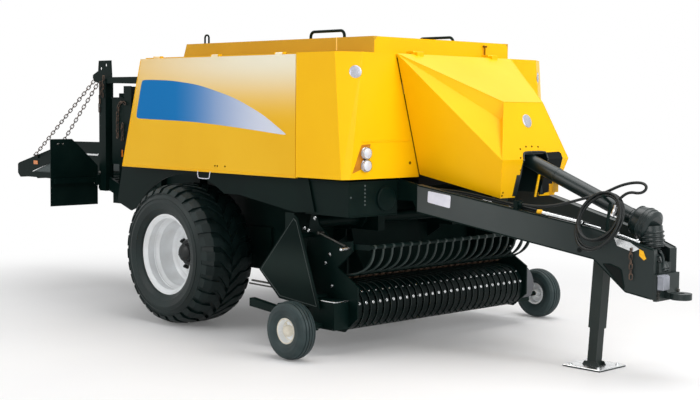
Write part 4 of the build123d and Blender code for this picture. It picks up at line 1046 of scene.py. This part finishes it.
# Paler towards the shield's foot: painted light
fade(shield_paint_painted_light, [(0.0, (60, 72, 68)), (1.0, (2, 17, 15))], "Z", 0.48, 0.95)
for side, name in SIDES:
    shield = bmesh.new()
    # Grey rods along the shield's edges: painted highlights
    for here, there in zip(SHIELD_EDGES, SHIELD_EDGES[1:] + SHIELD_EDGES[:1]):
        add_edge(shield, side, SHIELD_Y, here, there, 0.0035)
    make_piece(f"shield_edge_highlights_{name}", shield, grey_paint_and_edge_highlight, "pickup")
    face = bmesh.new()
    add_plate(face, SHIELD_FACE, at(0, side * (SHIELD_Y - 0.5), 0), FORWARD, UPWARD, -side * 0.0015)
    make_piece(f"shield_faces_{name}", face, shield_paint_painted_light, "pickup")
print("shield corners", len(SHIELD_FACE))

# %% [markdown]
# ## End cover of the reel
# On the machine's left, a curved grey sheet covers the drive at the end of the reel. It could be a
# cut cylinder. Four arcs of points, inner and outer, near and far, make the same bent sheet with its
# thickness and clean ends in one loop.

# %% Reel end cover
COVER_RADII = (193, 196)
COVER_ENDS = (1107, 1236)
end_grey = finish("end cover paint", (80, 82, 86), (70, 72, 76), 4, (0.3, 0.5), 90, 0.04, shine=0.4)
end_cover = bmesh.new()
sheet = [[end_cover.verts.new(at(REEL_X + radius * math.cos(turn), y, REEL_Z + radius * math.sin(turn)))
          for radius, y in ((COVER_RADII[0], COVER_ENDS[0]), (COVER_RADII[1], COVER_ENDS[0]),
                            (COVER_RADII[1], COVER_ENDS[1]), (COVER_RADII[0], COVER_ENDS[1]))]
         for turn in (math.radians(108 - 12 * step) for step in range(13))]
add_skin(end_cover, sheet)
for end in (sheet[0], sheet[-1]):
    end_cover.faces.new(end)
make_piece("reel_end_cover", end_cover, end_grey, "pickup")
print("steps of the end cover", len(sheet) - 1)

# %% [markdown]
# ## Wind guard
# Curved tines hang from a bar and keep the straw down on the bands, with a rail through their tips.
# The CAD tines are a little thin to be seen from afar, so slightly thicker ones follow the same bend
# over them. A turned clamp holds each on the bar, and all ride on the guard.

# %% Wind guard
GUARD_TINES = 20
TINE_PITCH = 2 * (1076 - 60) / (GUARD_TINES - 1)
TINE_BEND = [(2347, 886), (2345, 828), (2320, 760), (2262, 706), (2180, 666), (2090, 642), (2001, 630)]
CLAMP = [(0, 0.0165), (0.002, 0.0185), (0.022, 0.0185), (0.024, 0.0165)]
clamps, tines, rail = bmesh.new(), bmesh.new(), bmesh.new()
for number in range(GUARD_TINES):
    y = (number - (GUARD_TINES - 1) / 2) * TINE_PITCH
    add_profile(clamps, at(2350, y - 12, 890), LEFTWARD, CLAMP, 16)
    add_tube(tines, [at(x, y, z) for x, z in TINE_BEND], 0.0085, sides=8, round_off=4)
add_rod(rail, at(2002, -1016, 620), at(2002, 1016, 620), 0.009, 12)
make_piece("guard_clamps", clamps, grey_paint_and_edge_highlight, "guard")
make_piece("guard_tines", tines, grey_paint_and_edge_highlight, "guard")
make_piece("guard_rail", rail, grey_paint_and_edge_highlight, "guard")
print("guard clamps", GUARD_TINES)

# %% [markdown]
# ## Front apron
# Between the corner covers and the pick-up stands a dark apron that hides the feeder's drive: two
# folded plates with a column of bolts and the round cover of a drive. It is plain sheet, so boxes
# with a small bevel and one turned disc are the quickest way, and the dark paint hides the rest.

# %% Front apron
DISC = [(0, 0.105), (0.012, 0.105), (0.02, 0.095), (0.022, 0.04)]
COLUMN = range(1226, 1382, 31)
web_grey = finish("chute web paint", (72, 82, 82), (86, 95, 95), 3, (0.4, 0.6), 60, 0.04, shine=0.3)
for side, name in SIDES:
    apron = bmesh.new()
    add_box(apron, (2212, 2218), (side * 620, side * 1180), (1130, 1404))
    add_box(apron, (1700, 2216), (side * 1174, side * 1182), (1130, 1404))
    add_rod(apron, at(2220, side * 626, 1132), at(2220, side * 1176, 1132), 0.006, 8)
    add_profile(apron, at(2218, side * 760, 1268), FORWARD, DISC, 40)
    make_piece(f"front_apron_{name}", apron, chassis, "root", 0.002)
    column = bmesh.new()
    for z in COLUMN:
        add_bolt(column, at(2218, side * 1000, z), FORWARD, 0.006)
    add_bolt(column, at(2218, side * 1160, 1290), FORWARD, 0.006)
    make_piece(f"apron_bolts_{name}", column, web_grey, "root")
print("apron bolts", 2 * (len(COLUMN) + 1))

# %% [markdown]
# ## Feeder screens
# Behind the pick-up, dark sheets close the way to the feeder, so that no daylight shows under the
# machine. They are the same on both sides, as many small things at the rear are too, so one helper
# makes a piece of boxes from the numbers of one side.

# %% Feeder screens
def make_boxes(name, boxes, paint, body, bevel=0.0):
    """A piece of boxes on both sides: pairs of x, of distance from the middle and of height."""
    mesh = bmesh.new()
    for side in (RIGHT, LEFT):
        for x, y, z in boxes:
            add_box(mesh, x, (side * y[0], side * y[1]), z)
    return make_piece(name, mesh, paint, body, bevel)


make_boxes("feeder_screens",
           (((1440, 1446), (450, 1182), (484, 1126)), ((1440, 1560), (1176, 1182), (540, 1126))),
           chassis, "root", 0.001)
print("feeder screens", 2)

# %% [markdown]
# ## Places on the drawbar
# The drawbar's two deep beams run slantwise to the nose. Everything bolted to them would need slanted
# numbers, so one helper gives a place on the right beam's outer face by x and height, another swaps
# it to the left beam, and a patch is a flat slab between such places.

# %% Places on the drawbar
BEAM_ROOT = Vector((2450, -600, 0))
BEAM_HALF = 35
BEAM_RUN = Vector((1950, 480, 0)).normalized()
BEAM_OUT = Vector((BEAM_RUN.y, -BEAM_RUN.x, 0))


def on_beam(x, z, out=0.0):
    """A place on the right beam's outer face, given by x and height in millimetres."""
    step = (x - BEAM_ROOT.x - BEAM_HALF * BEAM_OUT.x) / BEAM_RUN.x
    spot = BEAM_ROOT + BEAM_OUT * BEAM_HALF + BEAM_RUN * step
    return at(spot.x, spot.y, z) + BEAM_OUT * out


def to_side(point, side):
    """A place on the right beam as it is, or the same place on the left beam."""
    return Vector((point.x, -side * point.y, point.z))


def add_patch(mesh, outline, out, thick, side=RIGHT):
    """A flat patch on a beam's outer face, from (x, height) corners."""
    near, far = ([to_side(on_beam(x, z, lift), side) for x, z in outline] for lift in (out, out - thick))
    add_slab(mesh, near, far)


print("beam length", round(Vector((1950, 480)).length))

# %% [markdown]
# ## Plate, pockets and edges of the beams
# The right beam carries a blank white plate. Near the nose, a dark triangular pocket is cut away in
# both webs, with a round hole behind it, and the beams' long edges are rolled. A boolean cut would
# open the closed beam, so the pocket and the hole are black patches of painted shade, and a rod
# round the pocket is its edge.

# %% Beam details
PLATE = [(2557, 1338), (2565, 1341), (2750, 1313), (2759, 1304), (2753, 1214), (2744, 1211), (2560, 1248),
         (2553, 1256)]
POCKET = [(4024, 852), (4078, 856), (4148, 831), (4166, 815), (4190, 690), (4183, 668)]
HOLE = [(3838 + 19 * math.cos(turn), 946 + 19 * math.sin(turn)) for turn in turns(16)]
BEAM_EDGES = ([(2452, 1384), (3950, 1112), (4396, 984)],
              [(2452, 1166), (3950, 886), (4198, 656), (4396, 616)])
plate = bmesh.new()
add_patch(plate, PLATE, 0.0025, 0.002)
make_piece("blank_plate", plate, plate_white, "root")
pocket, edges = bmesh.new(), bmesh.new()
for side in (RIGHT, LEFT):
    for outline in (rounded_outline(POCKET), HOLE):
        add_patch(pocket, outline, 0.0015, 0.002, side)
    corners = [to_side(on_beam(x, z, 0.001), side) for x, z in POCKET]
    for here, there in zip(corners, corners[1:] + corners[:1]):
        add_rod(edges, here, there, 0.0045, 8)
    for line in BEAM_EDGES:
        points = [to_side(on_beam(x, z, -0.002), side) for x, z in line]
        for here, there in zip(points, points[1:]):
            add_rod(edges, here, there, 0.006, 8)
# The black pocket and hole are painted shade on the beams' webs
make_piece("beam_pockets", pocket, pocket_black, "root")
make_piece("beam_edges", edges, chassis, "root")
print("pocket corners", len(POCKET))

# %% [markdown]
# ## Pipes along the drawbar
# Bright hydraulic pipes with collars lie along the top of the right beam and end in a yellow cap, and
# a bright bracket with a yellow end is bolted near the nose. Curves could carry them, but each pipe
# is straight. The beam's top is bent, so a helper gives the height of its edge at any x.

# %% Beam pipes
TOP_ROOT, TOP_BEND, TOP_NOSE = (0, 1390), (1545, 1110), (2008, 980)  # distance along the beam and height
BEAM_STRETCH = 1.0299  # distance along the beam for each millimetre of x
BRACKET = [(4105, 1062), (4230, 1030), (4300, 985), (4250, 960), (4130, 1000)]
BRACKET_END = [(4300, 985), (4330, 970), (4352, 915), (4335, 903), (4300, 935)]
cap_yellow = finish("cap yellow", (250, 190, 30), (240, 172, 24), 9, (0.35, 0.5), 60, 0.03, shine=0.3)


def beam_top(x, lift, across=-0.03):
    """A place above the top edge of the right beam."""
    along = (x - BEAM_ROOT.x) * BEAM_STRETCH
    start, end = (TOP_ROOT, TOP_BEND) if along < TOP_BEND[0] else (TOP_BEND, TOP_NOSE)
    height = start[1] - (start[1] - end[1]) * (along - start[0]) / (end[0] - start[0])
    return on_beam(x, height + lift, across)


pipes = bmesh.new()
for start, end, lift, radius, sides in ((3520, 3850, 22, 0.015, 20), (3860, 3990, 20, 0.008, 16),
                                        (4090, 4290, 18, 0.011, 16)):
    add_rod(pipes, beam_top(start, lift), beam_top(end, lift), radius, sides)
for x in (3560, 3830, 4120, 4270):
    add_profile(pipes, beam_top(x, 20), BEAM_RUN, [(0, 0.02), (0.014, 0.02)], 20)
add_patch(pipes, BRACKET, 0.008, 0.007)
make_piece("beam_pipes", pipes, bright_zinc, "root")
caps = bmesh.new()
add_profile(caps, beam_top(3480, 22), BEAM_RUN,
            [(0, 0.012), (0.004, 0.017), (0.04, 0.017), (0.044, 0.014)], 20)
add_patch(caps, BRACKET_END, 0.009, 0.006)
make_piece("pipe_caps", caps, cap_yellow, "root", 0.001)
print("height of the beam at its bend", TOP_BEND[1])

# %% [markdown]
# ## Tab, lines and safety chain
# A yellow tab stands under the drive shaft, three rubber lines run along the beam, and a short safety
# chain hangs down by the nose. Lines that lie side by side look drawn when they are parallel, so each
# has its own height. The chain hangs from a pin, every second link turned a quarter.

# %% Tab, lines and safety chain
# Height above the beam and distance across it, for each line
LINES = ((10, -0.055), (26, -0.052), (14, -0.062))
SAFETY_LINKS = 6


def hang_links(mesh, places, odd, even, size):
    """Links that hang straight down; size is half length, half width and wire."""
    for number, place in enumerate(places):
        add_link(mesh, place, -UPWARD, odd if number % 2 else even, *size)


tab = bmesh.new()
add_box(tab, (3372, 3380), (-34, 40), (1352, 1452))
add_box(tab, (3340, 3378), (-34, -28), (1330, 1420))
make_piece("shaft_tab", tab, cap_yellow, "root", 0.002)
lines = bmesh.new()
for number, (lift, across) in enumerate(LINES):
    stations = ((2560 + number * 40, -30), (2800, 0), (3100, 6), (3400, 0), (3700, 10), (3900, 0))
    add_tube(lines, [beam_top(x, lift + more, across) for x, more in stations], 0.008, sides=8)
make_piece("beam_lines", lines, hose_black, "root")
safety = bmesh.new()
add_rod(safety, on_beam(4240, 985, -0.01), on_beam(4240, 985, 0.028), 0.008, 12)
hang_links(safety, [on_beam(4240 + number, 965 - 38 * number, 0.021) for number in range(SAFETY_LINKS)],
           BEAM_RUN, BEAM_OUT, (0.0235, 0.0115, 0.0042))
make_piece("safety_chain", safety, chain_rust, "root")
print("links of the safety chain", SAFETY_LINKS)

# %% [markdown]
# ## Ribs of the shaft bell
# A ribbed rubber bell folds over the joint of the drive shaft, which slopes down to the nose, and
# plastic bands hold the guard's tubes. The CAD bell is smooth, and a bump would leave its outline
# smooth too. Rings of round wire give real ribs, each set square to the part that it lies on.

# %% Shaft bell
SHAFT_SLOPE = -0.393
SHAFT_BANDS = (2460, 3380, 4090)
BAND = [(0, 0.0605), (0.002, 0.063), (0.022, 0.063), (0.024, 0.0605)]


def shaft_place(x):
    """A place on the middle line of the drive shaft."""
    return at(x, 0, 1520 + (x - 3310) * SHAFT_SLOPE)


slope = Vector((1, 0, SHAFT_SLOPE)).normalized()
bell_at = shaft_place(4130)
knee = bell_at + slope * 0.15
yoke = at(4290, 0, 985)
neck = yoke - knee
ribs = bmesh.new()
for along, radius in ((0.03, 0.108), (0.105, 0.126), (0.135, 0.125), (0.165, 0.122)):
    add_ring(ribs, bell_at + slope * along, slope, radius, 0.006, 64, 10)
for share in (0.3, 0.5, 0.7, 0.9):
    add_ring(ribs, knee + neck * share, neck, 0.093, 0.009, 56, 10)
add_ring(ribs, yoke + Vector((0.006, 0, -0.02)), (25, 0, -85), 0.058, 0.008, 48, 10)
make_piece("bell_ribs", ribs, shaft_black, "root")
bands = bmesh.new()
for x in SHAFT_BANDS:
    add_profile(bands, shaft_place(x), slope, BAND, 48)
make_piece("shaft_bands", bands, shaft_black, "root")
print("bell ribs", 9)

# %% [markdown]
# ## Nose of the drawbar
# The nose ends in a pale machined block above the hitch eye, with four large nuts below it, and the
# tractor end of the drive shaft is parked in front of it: a stepped joint with a bent hook over it.
# A casting could be sculpted, but at this size two boxes with a wide bevel show the same soft edges.

# %% Nose
STUB = [(0, 0.05), (0.03, 0.052), (0.034, 0.06), (0.07, 0.06), (0.075, 0.042), (0.12, 0.04), (0.125, 0.055),
        (0.175, 0.055), (0.18, 0.04), (0.19, 0.04)]
PARK_HOOK = ((4330, -20, 968), (4392, -30, 960), (4418, -34, 890), (4400, -36, 822), (4372, -40, 806))
pale_metal = finish("pale cast block", (142, 145, 154), (124, 127, 134), 9, (0.35, 0.55), 120, 0.1, metal=0.3)
block = bmesh.new()
add_box(block, (4437, 4492), (-150, -62), (688, 794))
add_box(block, (4437, 4480), (-156, -56), (786, 800))
make_piece("hitch_blocks", block, pale_metal, "root", 0.006)
nuts = bmesh.new()
for y in (-135, 135):
    for z in (628, 662):
        add_bolt(nuts, at(4437, y, z), FORWARD, 0.013)
make_piece("drawbar_bolts", nuts, worn_steel, "root")
stub = bmesh.new()
add_profile(stub, at(4296, 0, 965), at(4400, 0, 800) - at(4296, 0, 965), STUB, 32)
add_tube(stub, [at(*point) for point in PARK_HOOK], 0.011)
make_piece("shaft_stub", stub, shaft_black, "root")
print("nuts at the nose", 4)

# %% [markdown]
# ## Foot of the jack
# The jack stands on a square plate whose zinc is worn bright by the ground. A bright thin plate with
# rods along its edges covers the dark CAD foot, with a bolt near each corner. It rides on the jack,
# so that it rises with the leg.

# %% Jack foot
JACK_X, FOOT_HALF, FOOT_TOP = 3790, 172, 15.5
foot = bmesh.new()
corners = [at(JACK_X + x * FOOT_HALF, y * FOOT_HALF, FOOT_TOP - 3)
           for x, y in ((-1, -1), (1, -1), (1, 1), (-1, 1))]
for here, there in zip(corners, corners[1:] + corners[:1]):
    add_rod(foot, here, there, 0.0045, 8)
add_box(foot, (JACK_X - 170, JACK_X + 170), (-170, 170), (FOOT_TOP - 2.5, FOOT_TOP))
for x, y in ((-130, -130), (130, -130), (-130, 130), (130, 130)):
    add_bolt(foot, at(JACK_X + x, y, FOOT_TOP), UPWARD, 0.012)
make_piece("foot_edges", foot, bright_zinc, "jack")
print("width of the foot", 2 * FOOT_HALF)

# %% [markdown]
# ## Lights and reflectors at the rear
# Light boards stand out on both sides with red and amber lenses, a red reflector sits below, and the
# chute's rail has an orange one. A lens is a thin bevelled box with a clear coat: its own glow would
# be wrong, because the machine is parked and no lamp is lit.

# %% Rear lights
lens_red = finish("red lens", (176, 20, 16), (150, 14, 12), 12, (0.1, 0.2), 60, 0.02, coat=0.5)
lens_amber = finish("amber lens", (236, 134, 34), (214, 112, 26), 12, (0.1, 0.2), 60, 0.02, coat=0.5)
make_boxes("red_lenses",
           (((-2337, -2330), (1052, 1136), (1404, 1486)), ((-2308, -2303), (700, 760), (980, 1040))),
           lens_red, "root", 0.002)
make_boxes("amber_lenses", (((-2337, -2330), (964, 1044), (1404, 1486)),),
           lens_amber, "root", 0.002)
make_boxes("chute_reflectors", (((-3822, -3734), (480, 486), (1312, 1356)),),
           lens_amber, "chute", 0.002)
screws = bmesh.new()
for side in (RIGHT, LEFT):
    for y, z in ((1091, 1598), (1030, 1597)):
        add_bolt(screws, at(-2294, side * y, z), FORWARD, 0.007)
        add_bolt(screws, at(-2306, side * y, z), -FORWARD, 0.007)
    add_ring(screws, at(-2292, side * 630, 1180), FORWARD, 0.018, 0.005, 24, 8)
    add_bolt(screws, at(-2250, side * 603, 1288), (0, side, 0), 0.012)
make_piece("rear_bolts", screws, bare_steel, "root")
print("lens groups", 3)

# %% [markdown]
# ## Grips, edges and webs of the chute
# The bale chute has a bright grip bar on each side, rounded upper edges and a grey web that stiffens
# its side. These ride on the chute and fold up with it. The web is a triangular slab just off the
# side sheet, so that its lighter grey shows where the real web catches the light.

# %% Chute
CHUTE_EDGE = [(-4188, 1296), (-4160, 1314), (-3050, 1592), (-2420, 1600), (-2228, 1240)]
WEB = ((-3900, 1215), (-3240, 1215), (-3240, 1412))
bars, edging, webs = bmesh.new(), bmesh.new(), bmesh.new()
for side in (RIGHT, LEFT):
    add_rod(bars, at(-2710, side * 490, 1465), at(-2441, side * 490, 1465), 0.012, 16)
    for x in (-2700, -2451):
        add_rod(bars, at(x, side * 480, 1465), at(x, side * 500, 1465), 0.008, 12)
    for here, there in zip(CHUTE_EDGE, CHUTE_EDGE[1:]):
        add_edge(edging, side, 474, here, there, 0.008)
    add_slab(webs, [at(x, side * 462, z) for x, z in WEB], [at(x, side * 459, z) for x, z in WEB])
make_piece("chute_grips", bars, bright_zinc, "chute")
make_piece("chute_edges", edging, chassis, "chute")
make_piece("chute_webs", webs, web_grey, "chute")
print("chute edge points", len(CHUTE_EDGE))

# %% [markdown]
# ## Loose chains at the rear
# Short lengths of spare chain hang on pins at the rear posts, and another is looped up in front of
# them. They could be dropped in a simulation, but a chain that hangs free is simply straight, so most
# of it takes the helper for hanging links. The loop's links each follow a stretch of a bent line.

# %% Loose chains
# x and height of each pin's first link, and its number of links
SPARE_CHAINS = ((-2225, 2236, 7), (-2165, 2300, 5))
LOOP = [(-1786, 2026), (-1822, 2046), (-1862, 2046), (-1896, 2024), (-1916, 1986), (-1926, 1942),
        (-1930, 1896), (-1932, 1850), (-1933, 1804), (-1934, 1758), (-1934, 1712), (-1934, 1666)]
LOOP_LINK = (0.027, 0.013, 0.0045)
spare = bmesh.new()
for side in (RIGHT, LEFT):
    for x, top, count in SPARE_CHAINS:
        hang_links(spare, [at(x - number * 4, side * 606, top - 46 * number) for number in range(count)],
                   LEFTWARD, FORWARD, (0.027, 0.012, 0.0038))
        add_rod(spare, at(x, side * 598, top + 24), at(x, side * 618, top + 24), 0.006, 10)
make_piece("spare_chains", spare, chain_rust, "root")
loops = bmesh.new()
for side in (RIGHT, LEFT):
    for number, (here, there) in enumerate(zip(LOOP, LOOP[1:])):
        along = Vector((there[0] - here[0], 0, there[1] - here[1])).normalized()
        middle = at((here[0] + there[0]) / 2, side * 588, (here[1] + there[1]) / 2)
        add_link(loops, middle, along, LEFTWARD if number % 2 else along.cross(LEFTWARD), *LOOP_LINK)
    hang_links(loops, [at(-1842, side * 588, 1800 - 46 * number) for number in range(4)],
               LEFTWARD, FORWARD, LOOP_LINK)
make_piece("tie_chains", loops, chain_rust, "root")
print("links of the loop", len(LOOP) - 1)

# %% [markdown]
# ## Rings, guards and marks of the press
# Rubber rings seal the cylinders that squeeze the bale channel, sheet guards stand in front of them,
# and a small orange mark is fixed to each guard. They sit deep in shade, so that simple rings and
# boxes are enough, and they only have to break up the dark side of the channel.

# %% Press
rings = bmesh.new()
for side in (RIGHT, LEFT):
    for z in (1400, 1800):
        for x in (-1740, -1345):
            add_ring(rings, at(x, side * 478, z), FORWARD, 0.038, 0.006, 32, 8)
make_piece("press_hoses", rings, hose_black, "root")
make_boxes("rear_guards",
           (((-2054, -1838), (566, 572), (1385, 2094)), ((-1840, -1700), (566, 572), (1385, 2215)),
            ((-2054, -1838), (566, 584), (2086, 2096))), chassis, "root")
make_boxes("rear_marks", (((-1876, -1856), (572, 575), (1465, 1540)),),
           lens_amber, "root", 0.001)
print("rings of the press", 8)

# %% [markdown]
# ## Studio floor and backdrop
# The machine stands on a pale studio floor that runs into a white backdrop. More light would bleach
# the machine too, so white is added only where the camera, a reflection or glass looks at the floor
# or the world. On the floor it grows with the distance, and the shadow near the machine stays.

# %% Floor and backdrop
WHITE = (1, 1, 1, 1)
WORLD_STRENGTH = 0.29
FLOOR_HALF = 60
WHITE_NEAR, WHITE_FAR, WHITE_LEAST = 2.6, 7.2, 0.08  # metres from the floor's middle, and the share there


def show_white(tree, share=None):
    """Mixes plain white into a surface for the camera, reflections and glass."""
    output = next(node for node in tree.nodes if node.type.startswith("OUTPUT"))
    own = output.inputs["Surface"].links[0].from_socket
    path = add_node(tree, "LightPath")
    seen = path.outputs["Is Camera Ray"]
    for ray in ("Is Glossy Ray", "Is Transmission Ray"):
        seen = add_node(tree, "Math", {0: seen, 1: path.outputs[ray]}, operation="MAXIMUM").outputs[0]
    if share:
        seen = add_node(tree, "Math", {0: seen, 1: share}, operation="MULTIPLY").outputs[0]
    glow = add_node(tree, "Background" if output.type == "OUTPUT_WORLD" else "Emission",
                    {"Color": WHITE, "Strength": 1.0})
    mix = add_node(tree, "MixShader", {"Fac": seen, 1: own, 2: glow.outputs[0]})
    tree.links.new(mix.outputs[0], output.inputs["Surface"])


floor_mesh = bmesh.new()
bmesh.ops.create_grid(floor_mesh, x_segments=2, y_segments=2, size=FLOOR_HALF)
floor_data = bpy.data.meshes.new("studio_floor")
floor_mesh.to_mesh(floor_data)
floor_mesh.free()
floor = bpy.data.objects.new("studio_floor", floor_data)
bpy.context.scene.collection.objects.link(floor)
floor.location = (0.8, -0.9, -0.001)
floor_paint = finish("studio floor", (243, 243, 243), (239, 239, 240), 0.4, (0.55, 0.6), 3, 0.0)
floor_data.materials.append(floor_paint)
floor_tree = floor_paint.node_tree
middle = add_node(floor_tree, "TexCoord").outputs["Object"]
away = add_node(floor_tree, "VectorMath", {0: middle}, operation="LENGTH")
whiter = add_node(floor_tree, "MapRange", {"Value": away.outputs["Value"], "From Min": WHITE_NEAR,
                                           "From Max": WHITE_FAR, "To Min": WHITE_LEAST},
                  interpolation_type="SMOOTHSTEP")
show_white(floor_tree, whiter.outputs["Result"])

world = bpy.data.worlds.new("studio")
bpy.context.scene.world = world
world.use_nodes = True
world.node_tree.nodes["Background"].inputs["Color"].default_value = WHITE
world.node_tree.nodes["Background"].inputs["Strength"].default_value = WORLD_STRENGTH
show_white(world.node_tree)
print("floor", 2 * FLOOR_HALF, "metres across")

# %% [markdown]
# ## Lights
# A studio lights a machine with large soft boxes. Sun lamps would draw hard shadows, so four square
# area lamps do it: one overhead, one along the right side, one in front, and a low one that reaches
# under the covers. They are placed in metres, and each points at a place on the machine.

# %% Lights
def add_light(name, place, aim, size, power):
    """A large square lamp that points at a place."""
    lamp = bpy.data.lights.new(name, "AREA")
    lamp.shape = "SQUARE"
    lamp.size = size
    lamp.energy = power
    holder = bpy.data.objects.new(name, lamp)
    bpy.context.scene.collection.objects.link(holder)
    holder.location = place
    holder.rotation_euler = (Vector(aim) - Vector(place)).to_track_quat("-Z", "Y").to_euler()


add_light("overhead", (2, 0.8, 9), (0, 0, 1), 8, 660)
add_light("side key", (-3, -11, 6), (0, 0, 1), 6, 350)
add_light("front fill", (11, 1, 5), (1, 0, 1), 6, 480)
add_light("low fill", (9, -9, 1.8), (2, 0, 1.6), 5, 250)
bpy.context.scene.view_settings.view_transform = "Standard"
print("lights", len(bpy.data.lights))

# %% [markdown]
# ## The end
# The script ends by counting the pieces that it made. The pieces must stay inside the box of the
# solids.

# %% The end
print("pieces made", len(made))
